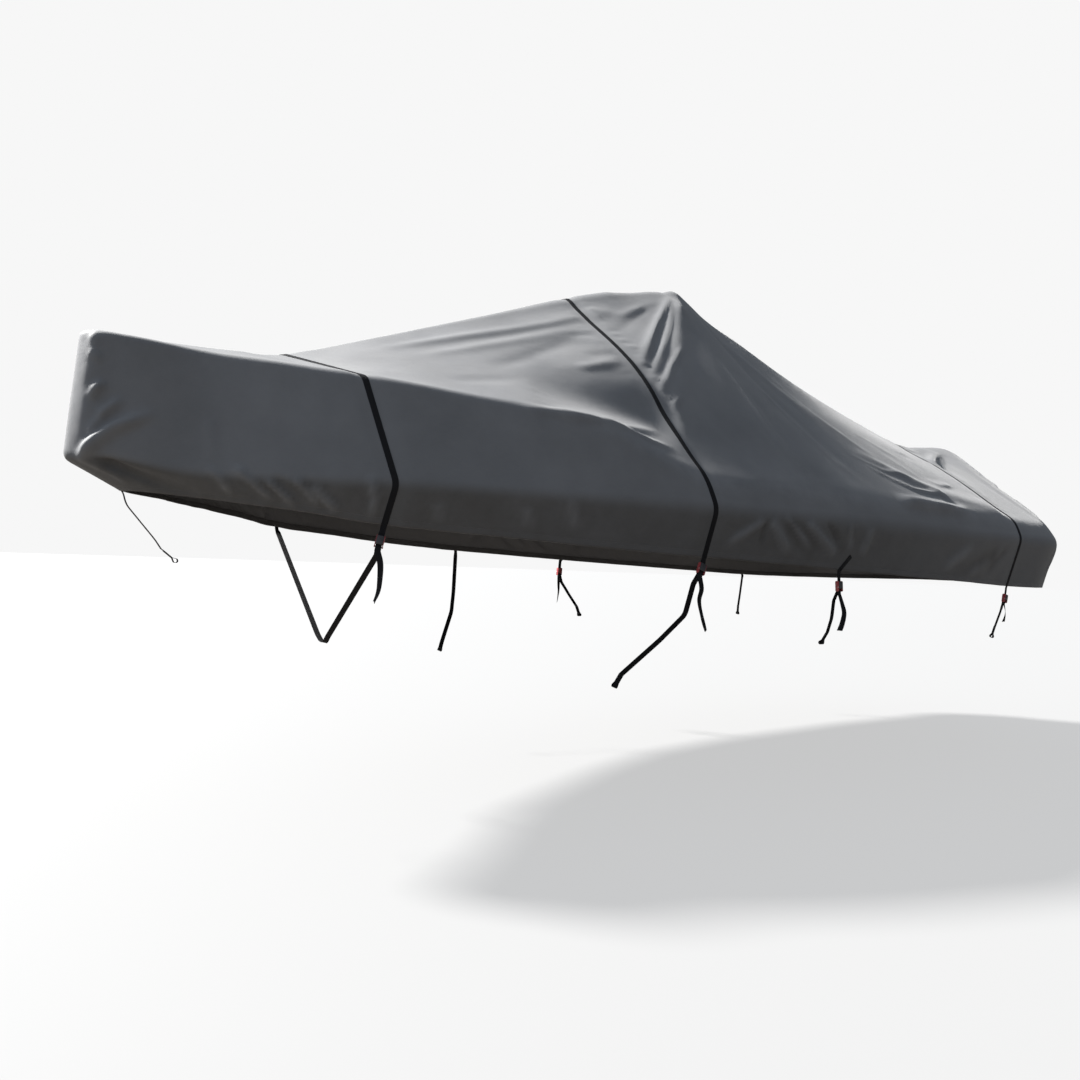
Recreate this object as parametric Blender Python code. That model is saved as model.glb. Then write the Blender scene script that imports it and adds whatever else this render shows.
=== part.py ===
"""Fitted cover for an open boat on its trailer, with its webbing tie-downs.

The cover is one hollow sheet of coated cloth. Its hem hangs below the boat's rub rail, its sides rise to
the bow rail and the gunwale, and its top climbs along a ridge from the bow to the console's peak and on
to the outboard motor's hump at the stern. Webbing runs over the cloth, or is sewn to its skirt, and goes
down through cam buckles to the trailer.

Lengths are in metres. The tables measure a place as "aft" of the stem, "side" of the middle (port is
negative) and "up" from the rub rail at the stern. The finished model has +X aft, +Y to starboard and +Z
up, and its origin is on the cloth's inner face at the peak.
"""

from collections import namedtuple
import bpy
import numpy as np
from mathutils import Matrix

# Cloth
CLOTH_THICKNESS = 0.002
HEM_THICKNESS = 0.005
HEM_ROWS = 2

# Webbing, and how far it stays from what it lies on
WEBBING_WIDTH = 0.025
WEBBING_THICKNESS = 0.0015
CLEARANCE = 0.0006
LAYER_STEP = WEBBING_THICKNESS + 0.0004
SEWN_LAP = 0.045
END_LOOP_RADIUS = 0.009
PAST_HEM = 0.012

# Cam buckles, measured across the webbing, along it (down) and out from the cloth. The webbing runs through
# the middle.
CHEEK_INNER = 0.0145
CHEEK_THICKNESS = 0.003
CHEEK_HALF_LENGTH = 0.026
CHEEK_BACK = -0.0100
CHEEK_FRONT = 0.0100
PLATE_BACK = -0.0032
PLATE_FRONT = -0.0012
PLATE_END = 0.012
BAR_RADIUS = 0.0025
BAR_ALONG = 0.0205
BAR_OUT = -0.0065
BAR_SIDES = 8
LEVER_HALF_WIDTH = CHEEK_INNER - 0.0007
LEVER_PROFILE = (
    (-0.024, 0.0105),
    (-0.016, 0.0060),
    (-0.006, 0.0013),
    (0.003, 0.0013),
    (0.010, 0.0060),
    (0.013, 0.0100),
    (0.009, 0.0125),
    (-0.022, 0.0130),
)

# How tightly the cloth turns at the rub rail, the rail and the ridge.
CRISP = (0.03, 0.03, 0.03)
EASED = (0.035, 0.05, 0.06)
SOFT = (0.04, 0.07, 0.10)
BROAD = (0.05, 0.08, 0.10)
SLACK = (0.05, 0.06, 0.13)

# The cover's lines at each section, from the stem round the port quarter to the middle of the stern.
# hem, rub and rail are (aft, half width, up). ridge is (aft, up, bulge), where bulge is how far the top
# swells above a straight line from rail to ridge.
Section = namedtuple("Section", "name hem rub rail ridge rounding")
SECTION_ROWS = (
    ("stem", (0.19, 0, -0.012), (-0.02, 0, 0.10), (0.02, 0, 0.608), (0.10, 0.612, 0), CRISP),
    ("nose", (0.21, 0.05, -0.013), (0.02, 0.08, 0.10), (0.055, 0.07, 0.606), (0.13, 0.612, 0), CRISP),
    ("flare", (0.27, 0.11, -0.018), (0.13, 0.155, 0.092), (0.15, 0.125, 0.595), (0.20, 0.612, 0), CRISP),
    ("locker", (0.45, 0.23, -0.036), (0.38, 0.285, 0.055), (0.40, 0.215, 0.56), (0.40, 0.615, 0), CRISP),
    ("foredeck", (0.76, 0.455, -0.068), (0.72, 0.505, 0.047), (0.70, 0.385, 0.525), (0.62, 0.625, 0), CRISP),
    ("fore strap", (1.05, 0.62, -0.108), (1.06, 0.695, 0.051), (0.98, 0.53, 0.491), (0.82, 0.64, 0), CRISP),
    ("fore cleat", (1.4, 0.775, -0.133), (1.4, 0.852, 0.042), (1.36, 0.705, 0.445), (1.24, 0.787, 0), CRISP),
    ("rail end", (1.98, 0.98, -0.17), (1.96, 1.04, 0.03), (1.93, 0.925, 0.355), (1.85, 1.017, 0.01), EASED),
    ("mid strap", (2.38, 1.085, -0.189), (2.39, 1.145, 0.022), (2.38, 1.085, 0.165), (2.36, 1.222, 0.06), SOFT),
    ("console", (2.78, 1.13, -0.205), (2.78, 1.182, 0.016), (2.78, 1.125, 0.155), (2.80, 1.36, 0.05), SOFT),
    ("peak", (3.15, 1.145, -0.219), (3.15, 1.20, 0.011), (3.15, 1.14, 0.15), (3.15, 1.425, 0), BROAD),
    ("peak back", (3.38, 1.145, -0.229), (3.38, 1.20, 0.008), (3.38, 1.14, 0.148), (3.38, 1.32, 0), BROAD),
    ("cockpit", (3.74, 1.142, -0.243), (3.74, 1.197, 0.005), (3.74, 1.137, 0.143), (3.74, 1.195, 0), BROAD),
    ("aft cockpit", (4.4, 1.13, -0.266), (4.4, 1.183, 0.001), (4.4, 1.12, 0.14), (4.45, 0.975, 0.01), SOFT),
    ("stern strap", (5.05, 1.065, -0.289), (5.04, 1.155, 0), (5.09, 1.085, 0.118), (5.42, 0.742, 0.02), SOFT),
    ("quarter", (5.50, 1.05, -0.296), (5.57, 1.125, 0), (5.54, 1.05, 0.12), (5.80, 0.757, 0), SLACK),
    ("corner", (5.68, 0.98, -0.296), (5.75, 1.035, 0), (5.69, 0.975, 0.145), (5.98, 0.775, 0), SLACK),
    ("transom", (5.87, 0.62, -0.29), (5.98, 0.64, 0.03), (5.95, 0.59, 0.355), (6.16, 0.77, 0), SLACK),
    ("motor side", (6.20, 0.24, -0.28), (6.31, 0.25, 0.06), (6.27, 0.21, 0.55), (6.25, 0.74, 0), SLACK),
    ("motor back", (6.25, 0, -0.28), (6.37, 0, 0.06), (6.36, 0, 0.62), (6.31, 0.715, 0), CRISP),
)
SECTIONS = tuple(Section(*row) for row in SECTION_ROWS)

# How many strips of cloth fill the space between one section and the next.
STRIPS = (2, 2, 3, 4, 3, 3, 3, 3, 6, 6, 4, 3, 3, 3, 2, 2, 2, 2, 2)

# Rows up a section. Whole numbers are the joins between its six stretches: skirt, rub rail, side, rail,
# top and ridge.
ROWS = (0.0, 0.14, 0.42, 0.71, 1.0, 1.5, 2.0, 2.33, 2.67, 3.0, 3.5, 4.0, 4.2, 4.4, 4.6, 4.8, 5.0, 6.0)

# Folds in the cloth, each from one place to another (aft, side, up). A fold stands proud where its height
# is positive and is a trough where it is negative, and it is strongest near its start. twin is how much of
# it shows on the other side of the boat.
Fold = namedtuple("Fold", "name start end width height twin")
FOLD_ROWS = (
    ("fan, upper ridge", (3.12, -0.05, 1.37), (2.36, -0.60, 0.71), 0.050, 0.030, 0.9),
    ("fan, lower ridge", (3.12, -0.09, 1.33), (2.41, -0.76, 0.56), 0.050, 0.024, 0.8),
    ("fan, trough", (3.06, -0.06, 1.33), (2.47, -0.36, 0.97), 0.050, -0.024, 0.8),
    ("fan, top ridge", (2.95, -0.10, 1.26), (2.50, -0.24, 1.06), 0.045, 0.014, 0.7),
    ("peak, aft ridge", (3.13, -0.06, 1.36), (3.02, -0.34, 1.06), 0.045, 0.014, 0.6),
    ("peak, aft trough", (3.24, -0.08, 1.30), (3.50, -0.94, 0.34), 0.080, -0.014, 0.8),
    ("side of peak, long soft fold", (3.36, -0.26, 1.10), (4.07, -0.86, 0.38), 0.090, 0.014, 0.7),
    ("foredeck, hollow under the rail", (2.30, -0.66, 0.64), (1.72, -0.56, 0.60), 0.110, -0.045, 0.8),
    ("foredeck, dark trough", (2.26, -0.36, 0.91), (1.60, -0.48, 0.62), 0.060, -0.026, 0.7),
    ("foredeck, light band", (2.32, -0.54, 0.75), (1.90, -0.52, 0.66), 0.035, 0.018, 0.7),
    ("foredeck, long ridge", (2.60, -0.17, 1.14), (1.20, -0.15, 0.70), 0.060, 0.012, 0.9),
    ("foredeck, second long ridge", (2.25, -0.27, 0.95), (1.30, -0.29, 0.66), 0.050, 0.010, 0.6),
    ("rail, upper crease", (1.80, -0.76, 0.46), (2.27, -0.86, 0.40), 0.040, 0.020, 0.8),
    ("rail, lower crease", (1.92, -0.90, 0.37), (2.30, -0.96, 0.30), 0.040, 0.014, 0.8),
    ("stem, long crease", (0.04, -0.09, 0.12), (0.23, -0.19, 0.29), 0.025, 0.012, 0.9),
    ("stem, skirt turned under", (0.08, -0.12, 0.09), (0.42, -0.22, -0.02), 0.035, -0.022, 1.0),
    ("skirt gather 1", (0.45, -0.33, 0.08), (0.56, -0.32, -0.04), 0.026, -0.012, 0.5),
    ("skirt gather 2", (0.55, -0.39, 0.08), (0.69, -0.42, -0.06), 0.026, -0.014, 0.8),
    ("skirt gather 3", (0.65, -0.46, 0.06), (0.77, -0.47, -0.06), 0.026, -0.013, 0.6),
    ("skirt gather 4", (0.74, -0.51, 0.05), (0.85, -0.52, -0.07), 0.026, -0.012, 0.9),
    ("skirt pleat 1", (2.68, -1.17, 0.00), (2.50, -1.12, -0.15), 0.040, 0.010, 0.6),
    ("skirt pleat 2", (2.72, -1.17, 0.00), (2.88, -1.15, -0.16), 0.040, 0.014, 0.8),
    ("skirt pleat 3", (2.82, -1.18, 0.00), (3.06, -1.16, -0.15), 0.040, -0.012, 0.7),
    ("skirt pleat 4", (2.96, -1.18, 0.00), (3.20, -1.16, -0.16), 0.040, 0.012, 0.5),
    ("skirt pleat 5", (3.46, -1.19, 0.00), (3.41, -1.16, -0.16), 0.040, 0.012, 0.8),
    ("stern, top crease", (4.44, -1.02, 0.22), (3.86, -0.79, 0.44), 0.045, 0.020, 0.7),
    ("stern, lit ledge", (3.86, -1.09, 0.18), (4.56, -1.10, 0.14), 0.045, 0.024, 0.8),
    ("stern, shaded hollow", (4.30, -1.04, 0.20), (4.86, -1.05, 0.16), 0.045, -0.016, 0.6),
    ("hump, shoulder ridge", (5.80, -0.10, 0.71), (5.22, -0.48, 0.48), 0.060, 0.026, 0.8),
    ("hump, wedge", (5.86, -0.16, 0.68), (5.66, -0.40, 0.52), 0.045, -0.024, 0.7),
    ("hump, front hollow", (5.50, -0.16, 0.64), (4.90, -0.34, 0.62), 0.060, -0.018, 0.9),
    ("quarter, skirt fold", (4.80, -1.14, -0.10), (4.30, -1.14, -0.24), 0.045, -0.010, 0.6),
)
FOLDS = tuple(Fold(*row) for row in FOLD_ROWS)

# Straps that lie on the cloth. half is half the flat strip of cloth under the strap, and top_row is the
# row that the strap reaches, the ridge being row 6. Folds die away within about HOLD of the strip.
Lane = namedtuple("Lane", "name section behind half top_row")
HOLD = 0.03
LANE_ROWS = (
    ("fore", "fore strap", 0.0, 0.016, 6.0),
    ("mid", "mid strap", 0.0, 0.016, 6.0),
    ("quarter", "peak", 0.152, 0.052, 0.42),
    ("stern", "stern strap", 0.0, 0.016, 6.0),
)
LANES = {row[0]: Lane(*row) for row in LANE_ROWS}

# Where each strap runs in its strip, from its forward edge (0) to its aft one (1): at the hem and at its
# top.
LEAN = {"fore": (0.5, 0.5), "mid": (0.5, 0.5), "quarter": (0.20, 0.86), "stern": (0.5, 0.5)}

# Webbing below the hem to port, as places (aft, side, up): the middle of the buckle, the leg's way to the
# trailer or the keel, and the free tail.
BUCKLES = {
    "fore": (1.032, -0.622, -0.178),
    "mid": (2.358, -1.092, -0.243),
    "quarter": (3.262, -1.150, -0.307),
    "stern": (5.035, -1.064, -0.366),
}
LEGS = {
    "fore": ((1.065, -0.06, -0.606), (1.069, -0.025, -0.632), (1.072, 0.0, -0.640)),
    "mid": ((2.337, -1.02, -0.450), (2.275, -0.93, -0.569), (2.13, -0.80, -0.783)),
    "quarter": ((3.305, -1.08, -0.470), (3.335, -1.00, -0.600)),
    "stern": ((5.013, -1.05, -0.450), (4.965, -1.025, -0.600)),
}
TAILS = {
    "fore": (
        (1.034, -0.632, -0.270),
        (1.032, -0.634, -0.349),
        (1.024, -0.636, -0.386),
        (1.008, -0.642, -0.416),
    ),
    "mid": (
        (2.348, -1.106, -0.330),
        (2.342, -1.100, -0.383),
        (2.356, -1.106, -0.452),
        (2.387, -1.102, -0.516),
    ),
    "quarter": (
        (3.272, -1.166, -0.400),
        (3.278, -1.172, -0.440),
        (3.270, -1.168, -0.490),
        (3.259, -1.162, -0.525),
    ),
    "stern": (
        (5.020, -1.076, -0.440),
        (5.006, -1.082, -0.474),
        (4.998, -1.078, -0.508),
    ),
}
BOW_STRAP_INSIDE = 0.008
BOW_STRAP = ((0.215, 0.0, -0.064), (0.33, 0.0, -0.201), (0.354, 0.0, -0.237), (0.412, 0.0, -0.284))


def smooth_loop(knots, values, length, at):
    """Values on a smooth closed curve through the knots, at the distances asked for."""
    gaps = np.diff(np.append(knots, length))[:, None]
    rises = (np.roll(values, -1, axis=0) - values) / gaps
    before = np.roll(rises, 1, axis=0)
    gap_before = np.roll(gaps, 1, axis=0)
    slopes = (rises * gap_before + before * gaps) / (gaps + gap_before)
    at = np.asarray(at) % length
    i = np.searchsorted(knots, at, side="right") - 1
    j = (i + 1) % len(knots)
    gap = gaps[i]
    t = (at - knots[i])[:, None] / gap
    start = values[i] * (1 + 2 * t) * (1 - t) ** 2 + slopes[i] * gap * t * (1 - t) ** 2
    end = values[j] * t * t * (3 - 2 * t) - slopes[j] * gap * t * t * (1 - t)
    return start + end


def section_values(section, side):
    """One section's numbers in a row, to port (side -1) or to starboard (side 1)."""
    corners = [(aft, side * half, up) for aft, half, up in (section.hem, section.rub, section.rail)]
    aft, up, bulge = section.ridge
    return np.hstack([np.ravel(corners), aft, 0.0, up, section.rounding, bulge])


def outline():
    """Knots along the rub rail, the sections' numbers at them, and the length all round."""
    port = [section_values(section, -1) for section in SECTIONS]
    starboard = [section_values(section, 1) for section in SECTIONS[-2:0:-1]]
    values = np.array(port + starboard)
    rub = values[:, 3:6]
    steps = np.linalg.norm(np.roll(rub, -1, axis=0) - rub, axis=1)
    return np.concatenate([[0.0], np.cumsum(steps)[:-1]]), values, steps.sum()


KNOTS, VALUES, GIRTH = outline()
STATION = {section.name: KNOTS[i] for i, section in enumerate(SECTIONS)}


def unit(vectors):
    return vectors / np.maximum(np.linalg.norm(vectors, axis=-1, keepdims=True), 1e-9)


def sections_at(stations, rows):
    """Points of the cloth's outer face, before its folds: one line of points for each station."""
    numbers = smooth_loop(KNOTS, VALUES, GIRTH, stations)
    hem, rub, rail, ridge = (numbers[:, None, k : k + 3] for k in (0, 3, 6, 9))
    at_rub, at_rail, at_ridge = (numbers[:, None, k : k + 1] for k in (12, 13, 14))
    bulge = numbers[:, None, 15:16]
    rub_low = rub + unit(hem - rub) * at_rub
    rub_high = rub + unit(rail - rub) * at_rub
    rail_low = rail + unit(rub - rail) * at_rail
    rail_high = rail + unit(ridge - rail) * at_rail
    ridge_low = ridge + unit(rail - ridge) * at_ridge
    across = ridge_low * (1, -1, 1)
    slope = unit(ridge - rail)
    lift = unit(np.array([0.0, 0.0, 1.0]) - slope * slope[..., 2:3])
    lines = []
    for row in rows:
        stretch = min(int(row), 5)
        t = row - stretch
        if stretch == 0:
            points = hem + (rub_low - hem) * t
        elif stretch == 1:
            points = rub_low * (1 - t) ** 2 + 2 * rub * t * (1 - t) + rub_high * t * t
        elif stretch == 2:
            points = rub_high + (rail_low - rub_high) * t
        elif stretch == 3:
            points = rail_low * (1 - t) ** 2 + 2 * rail * t * (1 - t) + rail_high * t * t
        elif stretch == 4:
            points = rail_high + (ridge_low - rail_high) * t + lift * bulge * 16 * t * t * (1 - t) ** 2
        else:
            half = t / 2
            points = ridge_low * (1 - half) ** 2 + 2 * ridge * half * (1 - half) + across * half * half
        lines.append(points)
    return np.concatenate(lines, axis=1)


# The part's origin: the cloth's inner face at the peak.
ORIGIN = sections_at([STATION["peak"]], [6.0])[0, 0] - (0.0, 0.0, CLOTH_THICKNESS)


def lane_station(lane):
    return STATION[lane.section] + lane.behind


def port_stations():
    """Stations from the stem to the middle of the stern, with a flat strip under each strap."""
    stations = []
    for i, count in enumerate(STRIPS):
        stations += list(np.linspace(KNOTS[i], KNOTS[i + 1], count, endpoint=False))
    stations.append(KNOTS[len(STRIPS)])
    for lane in LANES.values():
        middle = lane_station(lane)
        stations = [s for s in stations if abs(s - middle) > lane.half + 0.014]
        stations += [middle - lane.half, middle + lane.half]
    return np.array(sorted(stations))


class Cloth:
    """The cover's outer face as a net of points: stations round the boat, and rows from hem to ridge."""

    def __init__(self, port, rows):
        self.rows = np.array(rows)
        self.stations = np.concatenate([port, GIRTH - port[-2:0:-1]])
        self.columns = len(self.stations)
        middle = len(port) - 1
        last = len(rows) - 1
        net = sections_at(self.stations, rows)
        twins = [column if column <= middle else 2 * middle - column for column in range(self.columns)]
        below = np.arange(self.columns * last).reshape(self.columns, last)
        self.index = np.hstack([below, self.columns * last + np.array(twins)[:, None]])
        self.points = np.vstack([net[:, :last].reshape(-1, 3), net[: middle + 1, last]])
        self.points[self.columns * last :, 1] = 0.0
        here, there = self.index, np.roll(self.index, -1, axis=0)
        corners = np.stack([here[:, :-1], there[:, :-1], there[:, 1:], here[:, 1:]], axis=-1)
        self.corners = corners.reshape(-1, 4)

    def normals(self):
        a, b, c, d = (self.points[self.corners[:, k]] for k in range(4))
        facing = np.cross(c - a, d - b)
        total = np.zeros_like(self.points)
        for k in range(4):
            np.add.at(total, self.corners[:, k], facing)
        return unit(total)

    def triangles(self):
        """Each square of the net as two triangles, split the same way all over."""
        halves = np.concatenate([self.corners[:, [0, 1, 2]], self.corners[:, [0, 2, 3]]])
        return [half for half in map(tuple, halves.tolist()) if len(set(half)) == 3]

    def free(self):
        """How freely each point folds: 0 where a strap holds the cloth down, 1 away from the straps."""
        free = np.ones(len(self.points))
        for lane in LANES.values():
            for column, station in enumerate(self.stations):
                away = abs(min(station, GIRTH - station) - lane_station(lane)) - lane.half
                held = self.index[column, self.rows <= lane.top_row + 0.6]
                free[held] = np.minimum(free[held], 1 - np.exp(-((max(away, 0) / HOLD) ** 2)))
        return free

    def fold(self, folds):
        """Lifts or sinks the cloth along each fold."""
        normals = self.normals()
        lift = np.zeros(len(self.points))
        for fold in folds:
            for mirror, share in ((1, 1.0), (-1, fold.twin)):
                start = np.array(fold.start) * (1, mirror, 1)
                run = np.array(fold.end) * (1, mirror, 1) - start
                t = np.clip((self.points - start) @ run / (run @ run), 0, 1)
                off = self.points - start - t[:, None] * run
                depth = np.einsum("ij,ij->i", off, normals)
                away = np.linalg.norm(off - depth[:, None] * normals, axis=1)
                fade = np.minimum(1, t / 0.12) * (1 - t) ** 0.6 * (np.abs(depth) < 0.3)
                lift += share * fold.height * fade * np.exp(-((away / fold.width) ** 2))
        self.points = self.points + normals * (lift * self.free())[:, None]

    def strap_line(self, name, side):
        """A strap's line up the cloth's outer face, from just past the hem, and the direction across it.

        That direction runs forward to aft on the cloth's own cross lines, so it is longer than 1 where the
        strap runs askew, which keeps the webbing at its full width.
        """
        lane = LANES[name]
        rows = self.rows[self.rows <= lane.top_row]
        edges = []
        for station in (lane_station(lane) - lane.half, lane_station(lane) + lane.half):
            place = station if side < 0 else GIRTH - station
            column = int(np.argmin(np.abs(self.stations - place)))
            edges.append(self.points[self.index[column, : len(rows)]])
        forward, aft = edges
        at_hem, at_top = LEAN[name]
        share = at_hem + (at_top - at_hem) * rows / lane.top_row
        line = forward + (aft - forward) * share[:, None]
        across = unit(aft - forward)
        across /= np.sqrt(1 - np.sum(across * tangents(line), axis=1, keepdims=True) ** 2)
        past_hem = line[0] + unit(line[0] - line[1]) * PAST_HEM
        return np.vstack([past_hem, line]), np.vstack([across[0], across])


def in_part(points):
    """Moves places from the tables' frame to the part's, whose origin is under the peak."""
    return np.asarray(points, float) - ORIGIN


def make_material(name, colour, roughness, metallic=0.0):
    material = bpy.data.materials.new(name)
    material.use_nodes = True
    shader = material.node_tree.nodes["Principled BSDF"]
    shader.inputs["Base Color"].default_value = (*colour, 1.0)
    shader.inputs["Roughness"].default_value = roughness
    shader.inputs["Metallic"].default_value = metallic
    return material


def link_object(name, mesh, material):
    if not mesh.materials:
        mesh.materials.append(material)
    thing = bpy.data.objects.new(name, mesh)
    bpy.context.scene.collection.objects.link(thing)
    return thing


def make_mesh(name, points, faces):
    mesh = bpy.data.meshes.new(name)
    mesh.from_pydata([tuple(map(float, point)) for point in points], [], faces)
    return mesh


def make_shell(cloth, material):
    """The cloth's outer and inner faces, split alike and joined round the hem, which is thicker."""
    thickness = np.full(len(cloth.points), CLOTH_THICKNESS)
    thickness[cloth.index[:, :HEM_ROWS]] = HEM_THICKNESS
    inner = cloth.points - cloth.normals() * thickness[:, None]
    count = len(cloth.points)
    faces = cloth.triangles()
    faces += [(count + c, count + b, count + a) for a, b, c in faces]
    hem = [int(i) for i in cloth.index[:, 0]]
    for here, there in zip(hem, hem[1:] + hem[:1]):
        faces.append((here, count + here, count + there, there))
    mesh = make_mesh("cover_shell", in_part(np.vstack([cloth.points, inner])), faces)
    link_object("cover_shell", mesh, material)
    mesh.shade_smooth()


def tangents(path):
    forward = unit(np.diff(path, axis=0))
    return unit(np.vstack([forward[:1], forward[:-1] + forward[1:], forward[-1:]]))


def squared(path, across):
    """The direction across a path, turned square to it at each point."""
    along = tangents(path)
    return unit(across - along * np.sum(across * along, axis=1, keepdims=True))


def make_webbing(name, path, across, material):
    """A flat strap whose middle follows the path, with its direction across at each point."""
    path = np.array(path)
    out = unit(np.cross(tangents(path), across))
    half = across * WEBBING_WIDTH / 2
    rise = out * WEBBING_THICKNESS / 2
    corners = (path - half - rise, path + half - rise, path + half + rise, path - half + rise)
    rings = np.stack(corners, axis=1)
    faces = [(3, 2, 1, 0), tuple(4 * (len(path) - 1) + k for k in range(4))]
    for i in range(len(path) - 1):
        for k in range(4):
            here, there = 4 * i + k, 4 * i + (k + 1) % 4
            faces.append((there, there + 4, here + 4, here))
    mesh = make_mesh(name, in_part(rings.reshape(-1, 3)), faces)
    link_object(name, mesh, material)


def smooth_path(places, steps):
    """A Catmull-Rom curve through the places, with so many steps between each two."""
    places = np.asarray(places, float)
    ends = np.vstack([2 * places[0] - places[1], places, 2 * places[-1] - places[-2]])
    curve = []
    for before, here, there, after in zip(ends, ends[1:], ends[2:], ends[3:]):
        for t in np.arange(steps) / steps:
            bend = t * t * (before - 2.5 * here + 2 * there - 0.5 * after)
            twist = t**3 * (1.5 * (here - there) + 0.5 * (after - before))
            curve.append(here + 0.5 * t * (there - before) + bend + twist)
    return curve + [places[-1]]


def loop_round(centre, along, across, radius):
    """Webbing from its sewn-down end, round a centre, and off in the direction along."""
    along = unit(along - across * (along @ across))
    out = np.cross(across, along)
    neck = centre + along * 1.9 * radius
    rise = out * LAYER_STEP / 2
    places = [neck + along * SEWN_LAP - rise, neck - rise]
    for angle in np.radians(np.linspace(-45, -315, 10)):
        places.append(centre + radius * (along * np.cos(angle) + out * np.sin(angle)))
    return places + [neck + rise, neck + along * SEWN_LAP + rise]


def mirrored(places):
    return [np.array(place) * (1, -1, 1) for place in places]


class Buckle:
    """Where a cam buckle sits: its middle, and its directions across, along (down) and out."""

    def __init__(self, name, side, hem, across):
        self.middle = np.array(BUCKLES[name]) * (1, -side, 1)
        self.along = unit(self.middle - hem)
        self.across = unit(across - self.along * (across @ self.along))
        self.out = np.cross(self.across, self.along) * side
        self.name, self.side = name, side

    def at(self, along, out=0.0):
        return self.middle + self.along * along + self.out * out

    def tail(self):
        """The webbing's way through the buckle and on to its free end."""
        free = TAILS[self.name] if self.side < 0 else mirrored(TAILS[self.name])
        through = [self.at(-CHEEK_HALF_LENGTH), self.at(CHEEK_HALF_LENGTH)]
        return through + smooth_path([self.at(CHEEK_HALF_LENGTH + 0.012), *free], 3)

    def leg(self):
        """The leg's way from its loop round the buckle's bar to the last place before the trailer."""
        places = LEGS[self.name] if self.side < 0 else mirrored(LEGS[self.name])
        bar = self.at(BAR_ALONG, BAR_OUT)
        radius = BAR_RADIUS + CLEARANCE + WEBBING_THICKNESS / 2
        return loop_round(bar, places[0] - bar, self.across, radius) + list(places)

    def matrix(self):
        axes = np.stack([self.across * self.side, self.along, self.out, in_part(self.middle)], axis=1)
        return Matrix([*map(list, axes), (0.0, 0.0, 0.0, 1.0)])


def end_loop(path, across):
    """Closes a path with a sewn loop at its last place."""
    back = loop_round(np.array(path[-1]), path[-2] - np.array(path[-1]), across, END_LOOP_RADIUS)
    return path[:-1] + back[::-1]


def make_prism(name, outline, low, high):
    """A closed prism: its outline is in the along-out plane, and it runs from low to high across."""
    count = len(outline)
    points = [(across, *place) for across in (low, high) for place in outline]
    faces = [tuple(range(count - 1, -1, -1)), tuple(range(count, 2 * count))]
    faces += [(k, (k + 1) % count, count + (k + 1) % count, count + k) for k in range(count)]
    return make_mesh(name, points, faces)


def rectangle(along_low, along_high, out_low, out_high):
    return ((along_low, out_low), (along_high, out_low), (along_high, out_high), (along_low, out_high))


def make_buckle_frame(material):
    """The frame's mesh: a base plate and two cheeks with a round bar between them."""
    cheek = rectangle(-CHEEK_HALF_LENGTH, CHEEK_HALF_LENGTH, CHEEK_BACK, CHEEK_FRONT)
    plate = rectangle(-CHEEK_HALF_LENGTH, PLATE_END, PLATE_BACK, PLATE_FRONT)
    turns = np.arange(BAR_SIDES) * 2 * np.pi / BAR_SIDES
    bar = [(BAR_ALONG + BAR_RADIUS * np.cos(a), BAR_OUT + BAR_RADIUS * np.sin(a)) for a in turns]
    outer = CHEEK_INNER + CHEEK_THICKNESS
    middle = CHEEK_INNER + CHEEK_THICKNESS / 2
    pieces = [
        (cheek, -outer, -CHEEK_INNER),
        (cheek, CHEEK_INNER, outer),
        (plate, -middle, middle),
        (bar, -middle, middle),
    ]
    solids = [link_object("buckle_piece", make_prism("buckle_piece", *piece), material) for piece in pieces]
    for other in solids[1:]:
        union = solids[0].modifiers.new("union", "BOOLEAN")
        union.operation = "UNION"
        union.object = other
    bpy.context.view_layer.update()
    seen = solids[0].evaluated_get(bpy.context.evaluated_depsgraph_get())
    mesh = bpy.data.meshes.new_from_object(seen)
    for solid in solids:
        bpy.data.objects.remove(solid, do_unlink=True)
    mesh.name = "buckle_frame"
    return mesh


def make_buckles(buckles, frame_material, lever_material):
    """Each buckle's frame and its lever, closed on the webbing."""
    frame = make_buckle_frame(frame_material)
    lever = make_prism("buckle_lever", LEVER_PROFILE, -LEVER_HALF_WIDTH, LEVER_HALF_WIDTH)
    for name, buckle in buckles.items():
        link_object(f"{name}_buckle_frame", frame, frame_material).matrix_world = buckle.matrix()
        link_object(f"{name}_buckle_lever", lever, lever_material).matrix_world = buckle.matrix()


def over_cloth(cloth, name):
    """A strap's middle line over the cover, from the port hem to the starboard one, with its across."""
    port, port_across = cloth.strap_line(name, -1)
    starboard, starboard_across = cloth.strap_line(name, 1)
    line = np.vstack([port, starboard[-2::-1]])
    across = np.vstack([port_across, starboard_across[-2::-1]])
    return lifted(line, across), across


def lifted(line, across):
    """Lifts a line off the cloth by half the webbing and its clearance."""
    return line + unit(np.cross(across, tangents(line))) * (CLEARANCE + WEBBING_THICKNESS / 2)


def make_girth_straps(cloth, material):
    """The straps that pass right over the cover, buckled to port, and the port legs."""
    buckles = {}
    for name in ("fore", "mid", "stern"):
        line, across = over_cloth(cloth, name)
        buckle = Buckle(name, -1, line[0], across[0])
        buckles[name] = buckle
        tail = buckle.tail()
        if name == "fore":
            start = buckle.leg() + mirrored(LEGS[name][-2::-1])
        else:
            start = end_loop([line[-1], *mirrored(LEGS[name])], buckle.across)[:0:-1]
            leg = end_loop(buckle.leg(), buckle.across)
            make_webbing(f"{name}_leg_port", leg, squared(leg, buckle.across), material)
        path = np.vstack([start, line[::-1], tail])
        sides = squared(path, buckle.across)
        sides[len(start) : len(start) + len(line)] = across[::-1]
        make_webbing(f"{name}_strap", path, sides, material)
    return buckles


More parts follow.
